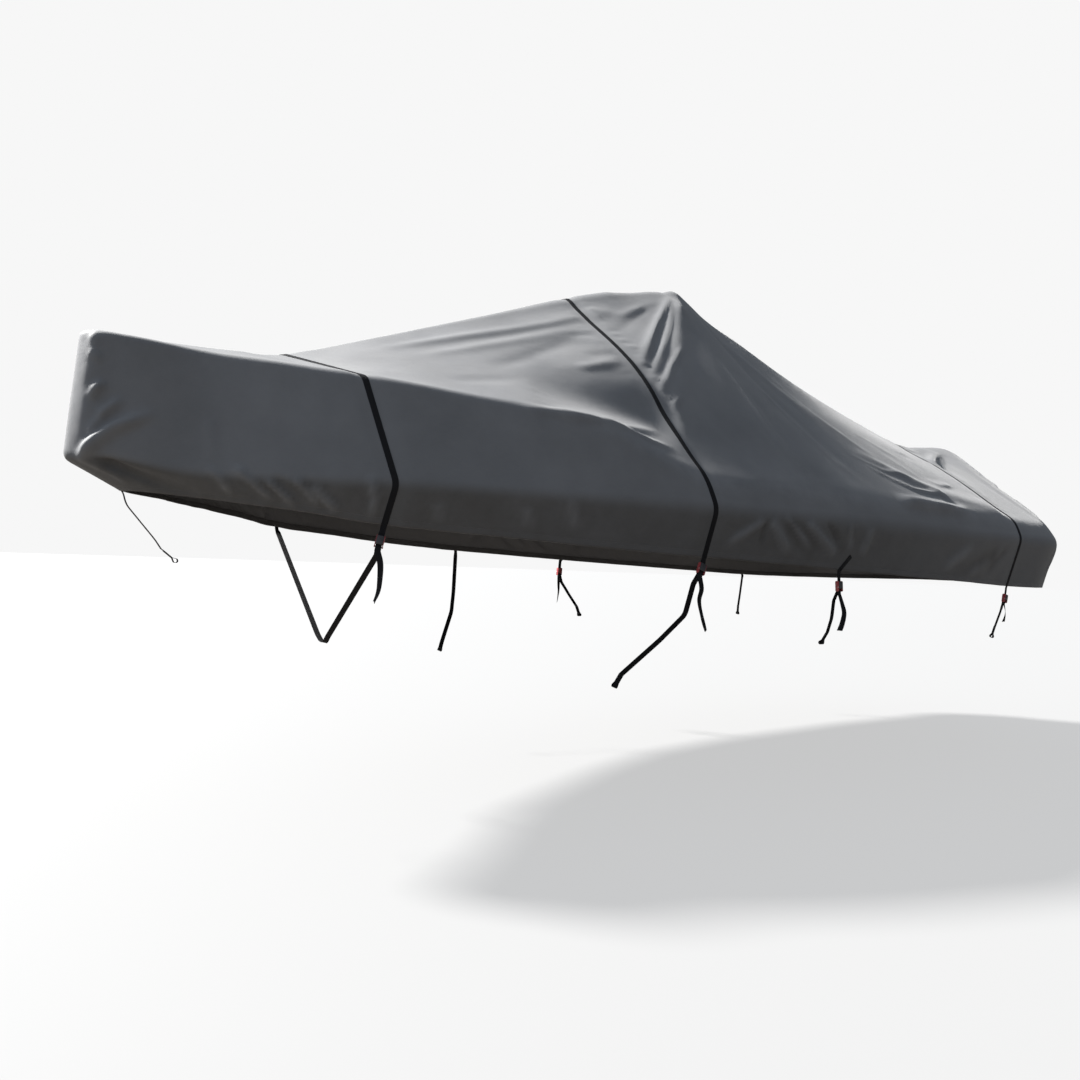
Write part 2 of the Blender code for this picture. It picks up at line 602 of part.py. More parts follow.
def make_quarter_straps(cloth, material):
    """The short straps sewn to the skirt on both sides, and their legs."""
    buckles = {}
    for word, side in (("port", -1), ("starboard", 1)):
        line, across = cloth.strap_line("quarter", side)
        line = lifted(line, -side * across)
        buckle = Buckle("quarter", side, line[0], across[0])
        buckles[f"quarter_{word}"] = buckle
        path = np.vstack([line[::-1], buckle.tail()])
        make_webbing(f"quarter_strap_{word}", path, squared(path, buckle.across), material)
        leg = end_loop(buckle.leg(), buckle.across)
        make_webbing(f"quarter_leg_{word}", leg, squared(leg, buckle.across), material)
    return buckles


def make_bow_strap(material):
    """The strap sewn inside the hem at the stem, running down to the winch stand."""
    stem = SECTIONS[0]
    hem = np.array([stem.hem[0], 0.0, stem.hem[2]])
    up = unit(np.array([stem.rub[0], 0.0, stem.rub[2]]) - hem)
    inside = np.array([up[2], 0.0, -up[0]]) * BOW_STRAP_INSIDE
    starboard = np.array([0.0, 1.0, 0.0])
    path = [hem + up * SEWN_LAP + inside, hem - up * WEBBING_THICKNESS * 4 + inside, *BOW_STRAP]
    path = end_loop(path, starboard)
    make_webbing("bow_strap", path, squared(path, starboard), material)


def clear_scene():
    for thing in list(bpy.data.objects):
        bpy.data.objects.remove(thing, do_unlink=True)


def main():
    clear_scene()
    cloth_material = make_material("cover_cloth", (0.16, 0.165, 0.175), 0.85)
    webbing_material = make_material("webbing", (0.012, 0.012, 0.013), 0.7)
    frame_material = make_material("buckle_frame", (0.25, 0.03, 0.035), 0.4)
    lever_material = make_material("buckle_lever", (0.02, 0.02, 0.022), 0.45)
    cloth = Cloth(port_stations(), ROWS)
    cloth.fold(FOLDS)
    make_shell(cloth, cloth_material)
    make_bow_strap(webbing_material)
    buckles = make_girth_straps(cloth, webbing_material)
    buckles.update(make_quarter_straps(cloth, webbing_material))
    make_buckles(buckles, frame_material, lever_material)


main()
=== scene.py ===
"""Finishes a fitted boat cover and its webbing tie-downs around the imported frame.

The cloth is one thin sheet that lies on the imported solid's folds, with the smaller creases added. Webbing
runs over it, or is sewn to its skirt, and goes down through cam buckles to sewn end loops.

Lengths are in metres. The tables measure a place as "aft" of the stem, "side" of the middle (port is
negative) and "up" from the rub rail at the stern. The frame has +X aft, +Y to starboard and +Z up, with its
origin on the cloth's inner face at the peak.
"""

import math
from collections import namedtuple
from functools import cache

import bmesh
import bpy
import numpy as np
from bpy.props import FloatProperty, FloatVectorProperty, PointerProperty
from mathutils import Euler, Matrix, Vector, noise
from numpy.linalg import norm


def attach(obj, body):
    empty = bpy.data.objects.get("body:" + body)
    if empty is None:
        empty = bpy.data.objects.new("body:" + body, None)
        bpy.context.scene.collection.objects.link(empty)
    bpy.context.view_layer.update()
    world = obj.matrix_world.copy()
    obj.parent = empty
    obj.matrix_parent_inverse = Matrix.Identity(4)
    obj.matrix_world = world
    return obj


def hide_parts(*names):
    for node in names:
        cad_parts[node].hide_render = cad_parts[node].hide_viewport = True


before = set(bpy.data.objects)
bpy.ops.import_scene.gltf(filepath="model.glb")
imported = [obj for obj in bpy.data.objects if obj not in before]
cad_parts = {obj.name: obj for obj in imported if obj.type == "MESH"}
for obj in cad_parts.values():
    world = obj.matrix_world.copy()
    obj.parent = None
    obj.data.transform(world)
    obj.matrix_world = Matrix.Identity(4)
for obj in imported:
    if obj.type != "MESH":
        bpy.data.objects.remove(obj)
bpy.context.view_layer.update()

bl_info = {
    "name": "Fitted Boat Cover",
    "version": (1, 0, 0),
    "blender": (4, 5, 0),
    "location": "3D View > Sidebar > Boat Cover",
    "description": "Makes a fitted boat cover with its webbing tie-downs around a packed frame",
    "category": "Object",
}

# ---- The cover's lines ----

# How far the cloth's turn reaches on each side of the rub rail, the rail and the ridge.
CRISP = (0.03, 0.03, 0.03)
EASED = (0.035, 0.05, 0.06)
SOFT = (0.04, 0.07, 0.10)
BROAD = (0.05, 0.08, 0.10)
SLACK = (0.05, 0.06, 0.13)

# The cover's lines at each section, from the stem round the port quarter to the middle of the stern. hem,
# rub and rail are (aft, half width, up). ridge is (aft, up, bulge), and bulge is how far the top swells
# above a straight line from rail to ridge.
Section = namedtuple("Section", "name hem rub rail ridge rounding")
SECTION_ROWS = (
    ("stem", (0.19, 0, -0.012), (-0.02, 0, 0.10), (0.02, 0, 0.608), (0.10, 0.612, 0), CRISP),
    ("nose", (0.21, 0.05, -0.013), (0.02, 0.08, 0.10), (0.055, 0.07, 0.606), (0.13, 0.612, 0), CRISP),
    ("flare", (0.27, 0.11, -0.018), (0.13, 0.155, 0.092), (0.15, 0.125, 0.595), (0.20, 0.612, 0), CRISP),
    ("locker", (0.45, 0.23, -0.036), (0.38, 0.285, 0.055), (0.40, 0.215, 0.56), (0.40, 0.615, 0), CRISP),
    ("foredeck", (0.76, 0.455, -0.068), (0.72, 0.505, 0.047), (0.70, 0.385, 0.525), (0.62, 0.625, 0), CRISP),
    ("fore strap", (1.05, 0.62, -0.108), (1.06, 0.695, 0.051), (0.98, 0.53, 0.491), (0.82, 0.64, 0), CRISP),
    ("fore cleat", (1.4, 0.775, -0.133), (1.4, 0.852, 0.042), (1.36, 0.705, 0.445), (1.24, 0.787, 0), CRISP),
    ("rail end", (1.98, 0.98, -0.17), (1.96, 1.04, 0.03), (1.93, 0.925, 0.355), (1.85, 1.017, 0.01), EASED),
    ("mid strap", (2.38, 1.085, -0.189), (2.39, 1.145, 0.022), (2.38, 1.085, 0.165),
     (2.36, 1.222, 0.06), SOFT),
    ("console", (2.78, 1.13, -0.205), (2.78, 1.182, 0.016), (2.78, 1.125, 0.155), (2.80, 1.36, 0.05), SOFT),
    ("peak", (3.15, 1.145, -0.219), (3.15, 1.20, 0.011), (3.15, 1.14, 0.15), (3.15, 1.425, 0), BROAD),
    ("peak back", (3.38, 1.145, -0.229), (3.38, 1.20, 0.008), (3.38, 1.14, 0.148), (3.38, 1.32, 0), BROAD),
    ("cockpit", (3.74, 1.142, -0.243), (3.74, 1.197, 0.005), (3.74, 1.137, 0.143), (3.74, 1.195, 0), BROAD),
    ("aft cockpit", (4.4, 1.13, -0.266), (4.4, 1.183, 0.001), (4.4, 1.12, 0.14), (4.45, 0.975, 0.01), SOFT),
    ("stern strap", (5.05, 1.065, -0.289), (5.04, 1.155, 0), (5.09, 1.085, 0.118), (5.42, 0.742, 0.02), SOFT),
    ("quarter", (5.50, 1.05, -0.296), (5.57, 1.125, 0), (5.54, 1.05, 0.12), (5.80, 0.757, 0), SLACK),
    ("corner", (5.68, 0.98, -0.296), (5.75, 1.035, 0), (5.69, 0.975, 0.145), (5.98, 0.775, 0), SLACK),
    ("transom", (5.87, 0.62, -0.29), (5.98, 0.64, 0.03), (5.95, 0.59, 0.355), (6.16, 0.77, 0), SLACK),
    ("motor side", (6.20, 0.24, -0.28), (6.31, 0.25, 0.06), (6.27, 0.21, 0.55), (6.25, 0.74, 0), SLACK),
    ("motor back", (6.25, 0, -0.28), (6.37, 0, 0.06), (6.36, 0, 0.62), (6.31, 0.715, 0), CRISP),
)
SECTIONS = tuple(Section(*row) for row in SECTION_ROWS)

# The net's spacing round the boat, after each section.
SPACING = (
    0.011, 0.012, 0.015, 0.017, 0.019, 0.024, 0.028, 0.023, 0.017, 0.017,
    0.020, 0.027, 0.030, 0.025, 0.024, 0.024, 0.030, 0.036, 0.036,
)

# A level says how far up its section a point lies: 0 at the hem, and one more for each stretch. The
# stretches go up the skirt, round the rub rail, up the side, round the rail, up the top and round the
# ridge. STRETCH_ROWS is how many of the net's rows fill each of them.
STRETCH_ROWS = (9, 5, 34, 6, 76, 6)
ABOVE_RUB_RAIL = 2.0
MIDDLE_OF_RAIL = 3.5
RIDGE = float(len(STRETCH_ROWS))
LEVEL_SLACK = 1e-6
# The net's lowest rows are the hem's, at these distances above its edge. The hem is sewn at STITCHED_LINE
# and turned in as far as TURNED_LINE.
HEM_LINES = (0.0, 0.006, 0.022, 0.0265, 0.031, 0.040)
STITCHED_LINE = 3
TURNED_LINE = 4

# The main folds, each from one place to another (aft, side, up), proud where the height is positive and a
# trough where it is negative. A fold rises over the first FOLD_RISE of its length, and fades to its end by
# the power FOLD_FADE. narrow is its width at its start as a share of the full width, which it reaches at
# its end, and its height grows with it. twin is how much of it shows on the other side of the boat.
FOLD_RISE = 0.12
FOLD_FADE = 0.6
Fold = namedtuple("Fold", "name start end width height twin narrow")
FOLD_ROWS = (
    ("fan, upper ridge", (3.12, -0.05, 1.37), (2.36, -0.6, 0.71), 0.055, 0.018, 0.9, 0.3),
    ("fan, lower ridge", (3.14, -0.1, 1.33), (2.41, -0.8, 0.52), 0.11, 0.032, 0.8, 0.4),
    ("fan, trough", (3.06, -0.06, 1.33), (2.47, -0.36, 0.97), 0.09, -0.004, 0.8, 0.5),
    ("fan, top ridge", (2.95, -0.1, 1.26), (2.5, -0.24, 1.06), 0.06, 0.005, 0.7, 0.3),
    ("peak, aft ridge", (3.13, -0.06, 1.36), (3.02, -0.34, 1.06), 0.045, 0.014, 0.6, 0.3),
    ("peak, aft trough", (3.24, -0.08, 1.3), (3.5, -0.94, 0.34), 0.08, -0.014, 0.8, 0.3),
    ("side of peak, long soft fold", (3.36, -0.26, 1.1), (4.07, -0.86, 0.38), 0.09, 0.014, 0.7, 0.5),
    ("foredeck, hollow under the rail", (2.44, -0.84, 0.45), (1.72, -0.66, 0.54), 0.15, -0.04, 0.8, 1),
    ("foredeck, dark trough", (2.26, -0.36, 0.91), (1.6, -0.48, 0.62), 0.09, -0.007, 0.7, 1),
    ("foredeck, light band", (2.32, -0.54, 0.75), (1.9, -0.52, 0.66), 0.05, 0.005, 0.7, 1),
    ("foredeck, long ridge", (2.6, -0.17, 1.14), (1.2, -0.15, 0.7), 0.06, 0.007, 0.9, 1),
    ("foredeck, second long ridge", (2.25, -0.27, 0.95), (1.3, -0.29, 0.66), 0.05, 0.005, 0.6, 1),
    ("rail, upper crease", (1.7, -0.83, 0.4), (2.3, -0.87, 0.39), 0.05, 0.01, 0.8, 1),
    ("rail, lower crease", (1.92, -0.9, 0.37), (2.3, -0.96, 0.3), 0.045, 0.01, 0.8, 1),
    ("stem, long crease", (0.04, -0.09, 0.12), (0.25, -0.2, 0.31), 0.028, 0.014, 0.9, 1),
    ("stem, edge of the front", (0.045, -0.085, 0.6), (0.03, -0.075, 0.06), 0.042, 0.009, 0.8, 1),
    ("stem, skirt turned under", (0.08, -0.12, 0.09), (0.42, -0.22, -0.02), 0.035, -0.022, 1, 1),
    ("skirt gather 1", (0.45, -0.33, 0.08), (0.56, -0.32, -0.04), 0.026, -0.012, 0.5, 0.6),
    ("skirt gather 2", (0.55, -0.39, 0.08), (0.69, -0.42, -0.06), 0.026, -0.014, 0.8, 0.6),
    ("skirt gather 3", (0.65, -0.46, 0.06), (0.77, -0.47, -0.06), 0.026, -0.013, 0.6, 0.6),
    ("skirt gather 4", (0.74, -0.51, 0.05), (0.85, -0.52, -0.07), 0.026, -0.012, 0.9, 0.6),
    ("skirt pleat 1", (2.68, -1.17, 0), (2.5, -1.12, -0.15), 0.04, 0.01, 0.6, 0.6),
    ("skirt pleat 2", (2.72, -1.17, 0), (2.88, -1.15, -0.16), 0.04, 0.014, 0.8, 0.6),
    ("skirt pleat 3", (2.82, -1.18, 0), (3.06, -1.16, -0.15), 0.04, -0.012, 0.7, 0.6),
    ("skirt pleat 4", (2.96, -1.18, 0), (3.2, -1.16, -0.16), 0.04, 0.012, 0.5, 0.6),
    ("skirt pleat 5", (3.46, -1.19, 0), (3.41, -1.16, -0.16), 0.04, 0.012, 0.8, 0.6),
    ("stern, top crease", (4.44, -1.02, 0.22), (3.86, -0.79, 0.44), 0.045, 0.02, 0.7, 1),
    ("stern, lit ledge", (3.8, -1.12, 0.155), (4.56, -1.1, 0.135), 0.04, 0.022, 0.8, 1),
    ("stern, shaded hollow", (4.3, -1.04, 0.2), (4.86, -1.05, 0.16), 0.06, -0.006, 0.6, 1),
    ("stern, top swell", (5.04, -1, 0.2), (4.3, -1, 0.24), 0.1, 0.022, 0.8, 1),
    ("peak, flat ahead", (3.13, 0, 1.41), (2.66, 0, 1.29), 0.13, -0.028, 0, 1),
    ("hump, shoulder ridge", (5.8, -0.1, 0.71), (5.22, -0.48, 0.48), 0.07, 0.016, 0.8, 0.6),
    ("hump, wedge", (5.86, -0.16, 0.68), (5.66, -0.4, 0.52), 0.05, -0.008, 0.7, 0.6),
    ("hump, front hollow", (5.5, -0.16, 0.64), (4.9, -0.34, 0.62), 0.08, -0.009, 0.9, 0.6),
    ("quarter, skirt fold", (4.8, -1.14, -0.1), (4.3, -1.14, -0.24), 0.045, -0.01, 0.6, 1),
)
FOLDS = tuple(Fold(*row) for row in FOLD_ROWS)

# The smaller creases, each through its places (aft, side, up), measured as the folds are. They are sharper,
# with a shallow dip along both sides: CREASE_DIP is its share of the crest's height, and DIP_SPREAD how
# many times wider it is. A crease rises and fades over CREASE_RISE and CREASE_FADE of its length.
CREASE_RISE = 0.18
CREASE_FADE = 0.35
CREASE_DIP = 0.35
DIP_SPREAD = 2
Crease = namedtuple("Crease", "name width height twin narrow places")
CREASE_ROWS = (
    ("stem, bright", 0.021, 0.02, 0.7, 1,
     ((0.02, -0.07, 0.08), (0.07, -0.12, 0.17), (0.13, -0.145, 0.22), (0.27, -0.21, 0.29))),
    ("stem, beside it", 0.018, 0.01, 0.5, 1, ((0.05, -0.1, 0.19), (0.07, -0.11, 0.23), (0.1, -0.125, 0.27))),
    ("stem, short", 0.018, 0.015, 0.6, 1, ((0.08, -0.11, 0.26), (0.12, -0.13, 0.3), (0.16, -0.145, 0.34))),
    ("stem, fourth", 0.018, 0.012, 0.8, 1, ((0.05, -0.09, 0.33), (0.075, -0.1, 0.365), (0.1, -0.12, 0.4))),
    ("stem, fifth", 0.018, 0.009, 0.5, 1, ((0.06, -0.09, 0.36), (0.09, -0.11, 0.4))),
    ("stem, top 1", 0.018, 0.007, 0.7, 1, ((0.05, -0.06, 0.58), (0.08, -0.09, 0.54))),
    ("stem, top 2", 0.018, 0.007, 0.7, 1, ((0.05, -0.07, 0.52), (0.09, -0.1, 0.47))),
    ("stem, under fold", 0.017, -0.009, 0.9, 1,
     ((0.06, -0.11, 0.11), (0.18, -0.14, 0.05), (0.34, -0.18, -0.01))),
    ("stem, under streak", 0.017, 0.005, 0.7, 1,
     ((0.04, -0.08, 0.09), (0.13, -0.1, 0.05), (0.21, -0.1, 0.01))),
    ("gather a", 0.022, 0.018, 0.5, 0.7, ((0.44, -0.32, 0.09), (0.47, -0.34, 0.05), (0.55, -0.32, -0.03))),
    ("gather b", 0.022, 0.02, 0.8, 0.7, ((0.52, -0.37, 0.1), (0.57, -0.4, 0.05), (0.69, -0.42, -0.05))),
    ("gather c", 0.022, 0.018, 0.6, 0.7, ((0.62, -0.44, 0.05), (0.68, -0.46, 0), (0.75, -0.47, -0.06))),
    ("gather d", 0.022, 0.018, 0.7, 0.7, ((0.71, -0.5, 0.06), (0.76, -0.52, 0.01), (0.83, -0.52, -0.06))),
    ("gather e", 0.022, 0.016, 0.5, 0.7, ((0.78, -0.53, 0.04), (0.87, -0.54, -0.05), (0.89, -0.54, -0.07))),
    ("gather f", 0.022, 0.016, 0.9, 0.7, ((0.97, -0.65, 0.08), (1, -0.64, -0.01), (1, -0.61, -0.09))),
    ("locker side, faint", 0.025, 0.004, 0.6, 1, ((0.45, -0.29, 0.29), (0.46, -0.32, 0.09))),
    ("skirt, faint 1", 0.025, 0.005, 0.7, 1, ((1.22, -0.75, -0.01), (1.25, -0.72, -0.1))),
    ("skirt, faint 2", 0.025, 0.005, 0.5, 1, ((1.55, -0.89, -0.01), (1.59, -0.86, -0.11))),
    ("skirt, faint 3", 0.025, 0.006, 0.8, 1, ((1.72, -0.96, 0.04), (1.77, -0.93, -0.11))),
    ("peak, crisp edge", 0.04, 0.009, 0, 1, ((3.17, 0.26, 1.26), (3.18, 0, 1.42), (3.17, -0.12, 1.36))),
    ("fan, bright 1", 0.028, 0.012, 0.9, 0.4,
     ((3.04, -0.11, 1.31), (2.81, -0.28, 1.12), (2.55, -0.48, 0.87), (2.38, -0.62, 0.7))),
    ("fan, bright 2", 0.024, 0.014, 0.7, 0.4,
     ((3.04, -0.14, 1.29), (2.84, -0.33, 1.08), (2.6, -0.53, 0.85), (2.38, -0.69, 0.63))),
    ("fan, right thin", 0.022, 0.008, 0.5, 0.4, ((3.09, -0.09, 1.33), (3.02, -0.24, 1.17))),
    ("fan, left dark", 0.04, -0.003, 0.8, 0.4, ((2.89, -0.14, 1.24), (2.47, -0.34, 0.97), (2.4, -0.4, 0.9))),
    ("fan, left light", 0.032, 0.004, 0.6, 0.6, ((2.81, -0.15, 1.21), (2.53, -0.24, 1.07))),
    ("fan, thin", 0.022, 0.011, 0.8, 0.5, ((2.8, -0.47, 0.92), (2.59, -0.61, 0.75), (2.41, -0.74, 0.58))),
    ("fan, branch", 0.02, 0.006, 0.6, 0.4, ((2.49, -0.66, 0.68), (2.41, -0.74, 0.57))),
    ("fan, low", 0.02, 0.008, 0.8, 0.5, ((2.53, -0.75, 0.59), (2.41, -0.81, 0.49))),
    ("hollow 1", 0.026, -0.004, 0.6, 1, ((2.18, -0.3, 0.9), (2.33, -0.36, 0.91))),
    ("hollow 2", 0.035, -0.003, 0.7, 1, ((2.16, -0.47, 0.76), (2.3, -0.5, 0.78))),
    ("light band", 0.028, 0.005, 0.8, 1, ((2.05, -0.55, 0.69), (2.29, -0.55, 0.74))),
    ("rail, upper", 0.024, 0.009, 0.8, 1,
     ((1.57, -0.79, 0.41), (1.8, -0.86, 0.395), (2.05, -0.89, 0.38), (2.3, -0.87, 0.4))),
    ("rail, lower", 0.022, 0.01, 0.7, 1,
     ((1.75, -0.86, 0.39), (2.04, -0.91, 0.36), (2.16, -0.945, 0.33), (2.3, -0.96, 0.305))),
    ("foredeck streak 1", 0.035, 0.006, 0.8, 1, ((1.21, -0.14, 0.7), (2.13, -0.2, 0.97), (2.6, -0.17, 1.14))),
    ("foredeck streak 2", 0.045, -0.004, 0.6, 1,
     ((1.64, -0.46, 0.63), (1.93, -0.39, 0.76), (2.24, -0.34, 0.9))),
    ("foredeck streak 3", 0.045, -0.003, 0.7, 1, ((1.36, -0.55, 0.53), (1.74, -0.58, 0.58))),
    ("foredeck streak 4", 0.035, 0.003, 0.5, 1,
     ((1.36, -0.27, 0.67), (1.79, -0.27, 0.8), (2.22, -0.27, 0.94))),
    ("cockpit, thin light", 0.022, 0.015, 0.7, 0.5,
     ((3.8, -0.87, 0.37), (3.96, -0.97, 0.29), (4.1, -1.02, 0.25), (4.42, -1.01, 0.22))),
    ("cockpit, below it", 0.024, 0.008, 0.8, 0.5,
     ((3.74, -0.83, 0.42), (3.98, -0.91, 0.34), (4.25, -0.9, 0.32))),
    ("cockpit, streak 3", 0.045, 0.003, 0.6, 0.5, ((4.23, -0.69, 0.49), (4.41, -0.91, 0.3))),
    ("cockpit, streak 4", 0.045, 0.003, 0.5, 0.5, ((4.18, -0.53, 0.63), (4.48, -0.71, 0.44))),
    ("cockpit, wedge", 0.03, 0.016, 0.8, 1, ((3.78, -1.12, 0.155), (4.1, -1.12, 0.145), (4.52, -1.1, 0.135))),
    ("ridge, aft", 0.038, 0.015, 0, 1, ((3.24, 0, 1.39), (3.7, 0, 1.22), (4.4, 0, 0.99), (5.5, 0, 0.75))),
    ("side streak a", 0.045, 0.007, 0.7, 0.5, ((3.3, -0.46, 0.87), (3.49, -0.94, 0.35), (3.62, -1.09, 0.18))),
    ("side streak b", 0.045, 0.006, 0.6, 0.5,
     ((3.08, -0.48, 0.89), (3.06, -0.86, 0.47), (3.13, -1.12, 0.16))),
    ("side streak c", 0.045, 0.006, 0.8, 0.5,
     ((3.66, -0.26, 0.97), (3.82, -0.58, 0.65), (4.07, -0.82, 0.41))),
    ("below the stern strap", 0.03, 0.006, 0.6, 1,
     ((4.48, -0.86, 0.33), (4.55, -0.89, 0.3), (4.84, -0.8, 0.33))),
    ("stern, small lens", 0.045, -0.003, 0.7, 1, ((4.61, -0.61, 0.5), (4.81, -0.55, 0.51))),
    ("hump, lens", 0.055, -0.007, 0.7, 1, ((5.1, -0.39, 0.57), (5.45, -0.24, 0.64), (5.81, -0.09, 0.7))),
    ("hump, cone", 0.035, 0.01, 0.7, 1, ((5.2, -0.46, 0.51), (5.6, -0.24, 0.62), (5.84, -0.13, 0.69))),
    ("hump, wedge edge", 0.03, -0.006, 0.8, 1,
     ((5.82, -0.18, 0.65), (5.71, -0.28, 0.58), (5.2, -0.55, 0.46))),
    ("skirt fan 0", 0.022, 0.013, 0.6, 0.5, ((2.69, -1.17, -0.01), (2.48, -1.12, -0.13))),
    ("skirt fan 1", 0.02, -0.013, 0.7, 0.5, ((2.69, -1.17, -0.02), (2.69, -1.15, -0.12))),
    ("skirt fan 2", 0.024, 0.017, 0.5, 0.5, ((2.72, -1.17, -0.02), (2.86, -1.15, -0.15))),
    ("skirt fan 3", 0.026, 0.02, 0.8, 0.5, ((2.8, -1.18, 0.02), (3.03, -1.16, -0.14))),
    ("skirt fan 4", 0.026, 0.017, 0.6, 0.5, ((2.94, -1.18, 0), (3.21, -1.16, -0.16))),
    ("skirt fan 5", 0.024, -0.017, 0.7, 0.5, ((3.1, -1.19, 0.01), (3.27, -1.17, -0.14))),
    ("skirt fan 6", 0.022, 0.013, 0.5, 0.5, ((3.28, -1.19, 0.01), (3.32, -1.17, -0.13))),
    ("skirt fan 7", 0.024, 0.014, 0.8, 0.5, ((3.45, -1.19, -0.03), (3.42, -1.16, -0.15))),
    ("stern skirt 1", 0.03, 0.006, 0.7, 1, ((4.47, -1.13, -0.23), (4.75, -1.14, -0.13))),
    ("stern skirt 2", 0.035, 0.007, 0.6, 1, ((4.16, -1.15, -0.21), (4.48, -1.17, -0.06))),
    ("stern skirt 3", 0.03, -0.005, 0.8, 1, ((4.9, -1.14, -0.06), (4.7, -1.13, -0.24))),
    ("corner, gather 1", 0.026, 0.008, 0.8, 1, ((5.6, -1.08, -0.02), (5.5, -1.08, -0.26))),
    ("corner, gather 2", 0.026, -0.007, 0.7, 1, ((5.7, -1.04, -0.02), (5.62, -1.02, -0.27))),
    ("corner, gather 3", 0.026, 0.007, 0.9, 1, ((5.8, -0.96, 0.04), (5.72, -0.92, -0.26))),
    ("transom, drape 1", 0.04, 0.012, 0.8, 1, ((6.12, -0.42, 0.6), (5.98, -0.62, 0.1), (5.9, -0.6, -0.25))),
    ("transom, drape 2", 0.04, -0.012, 0.7, 1,
     ((6.18, -0.36, 0.62), (6.12, -0.42, 0.1), (6.04, -0.42, -0.25))),
    ("transom, drape 3", 0.035, 0.01, 0.8, 1, ((6.24, -0.26, 0.6), (6.24, -0.3, 0.15), (6.14, -0.3, -0.24))),
    ("motor, side fold", 0.03, -0.008, 0.7, 1, ((6.3, -0.16, 0.55), (6.35, -0.12, 0.2), (6.26, -0.12, -0.2))),
    ("transom, corner pull", 0.035, 0.01, 0.7, 1,
     ((5.74, -1, 0.08), (5.9, -0.76, 0.34), (6.06, -0.52, 0.62))),
    ("quarter, top pull", 0.035, 0.008, 0.8, 1,
     ((5.58, -1.04, 0.16), (5.76, -0.62, 0.5), (5.92, -0.3, 0.68))),
)
CREASES = tuple(Crease(*row) for row in CREASE_ROWS)

# A line along the cloth shapes only points within SAME_SIDE of its plane. Others are on another side of the
# boat, and count as FAR away.
SAME_SIDE = 0.3
FAR = 9.0

# Straps that lie on the cloth, each in a flat strip of it. behind is how far aft of its section the strip's
# middle lies, half is half its width, and top is the level that the strap reaches. Stations keep EDGE_GAP
# from a strip's edges, and out of a strip whose half is under WIDE_HALF. A strip goes on for STRIP_OVERRUN
# levels above its strap, and each level above that counts as LEVEL_AWAY metres.
Lane = namedtuple("Lane", "name section behind half top")
LANE_ROWS = (
    ("fore", "fore strap", 0.0, 0.016, RIDGE),
    ("mid", "mid strap", 0.0, 0.016, RIDGE),
    ("quarter", "peak", 0.152, 0.052, 0.42),
    ("stern", "stern strap", 0.0, 0.016, RIDGE),
)
LANES = {row[0]: Lane(*row) for row in LANE_ROWS}
GIRTH_STRAPS = ("fore", "mid", "stern")
SIDES = {"port": -1, "starboard": 1}
EDGE_GAP = 0.008
WIDE_HALF = 0.02
STRIP_OVERRUN = 0.6
LEVEL_AWAY = 10
# Creases die away within about HOLD of a strip. FOLDS_UNDER_STRAPS is how much of a main fold is left under
# a strap, and beside it the cloth swells most at SWELL_REACH.
HOLD = 0.03
FOLDS_UNDER_STRAPS = 0.4
SWELL_REACH = 0.06

# Puckers: short creases on both sides of a strap, gap apart, from its level low to its level high. They
# start PUCKER_START from its middle, and those ahead of it have PUCKER_AHEAD of the height.
Pucker = namedtuple("Pucker", "strap low high gap height")
PUCKERS = (Pucker("mid", 4.25, 5.0, 0.055, 0.006), Pucker("stern", 4.1, 5.0, 0.08, 0.004))
PUCKER_SEED = 5
PUCKER_STRAY = 0.3
PUCKER_START = 0.030
PUCKER_LENGTHS = (0.05, 0.10)
PUCKER_SHARES = (0.3, 1.0)
PUCKER_AHEAD = 0.4
PUCKER_SAG = (-0.01, -0.03)
PUCKER_WIDTH = 0.017
PUCKER_TWIN = 0.8
PUCKER_NARROW = 0.7

# Random waves, each (size, height), and the first one's seed: the cloth's unevenness and the swell beside
# straps, as shares of their settings, and the hem's waves, in metres. Those die away within HEM_WAVE_REACH
# of the hem, and change only HEM_WAVE_LEAN as fast up the cloth as along it.
UNEVEN_WAVES = ((0.75, 1.0), (0.28, 0.35), (0.12, 0.10))
UNEVEN_SEED = 1
SWELL_WAVES = ((0.16, 0.6),)
SWELL_SEED = 4
HEM_WAVES = ((0.19, 0.004), (0.07, 0.0025))
HEM_SEED = 5
HEM_WAVE_REACH = 0.07
HEM_WAVE_LEAN = 0.3
SEED_STEP = (3.1, 1.7, 2.3)
# The hem's stitches draw the cloth in by STITCH_DENT, within STITCH_REACH of them.
STITCH_DENT = 0.0008
STITCH_REACH = 0.004
# The height at which a fold or crease counts as full relief.
FULL_RELIEF = 0.007

# Where each strap runs in its strip, from the forward edge (0) to the aft one (1), at the hem and at its top.
LEAN = {"fore": (0.5, 0.5), "mid": (0.5, 0.5), "quarter": (0.20, 0.86), "stern": (0.5, 0.5)}

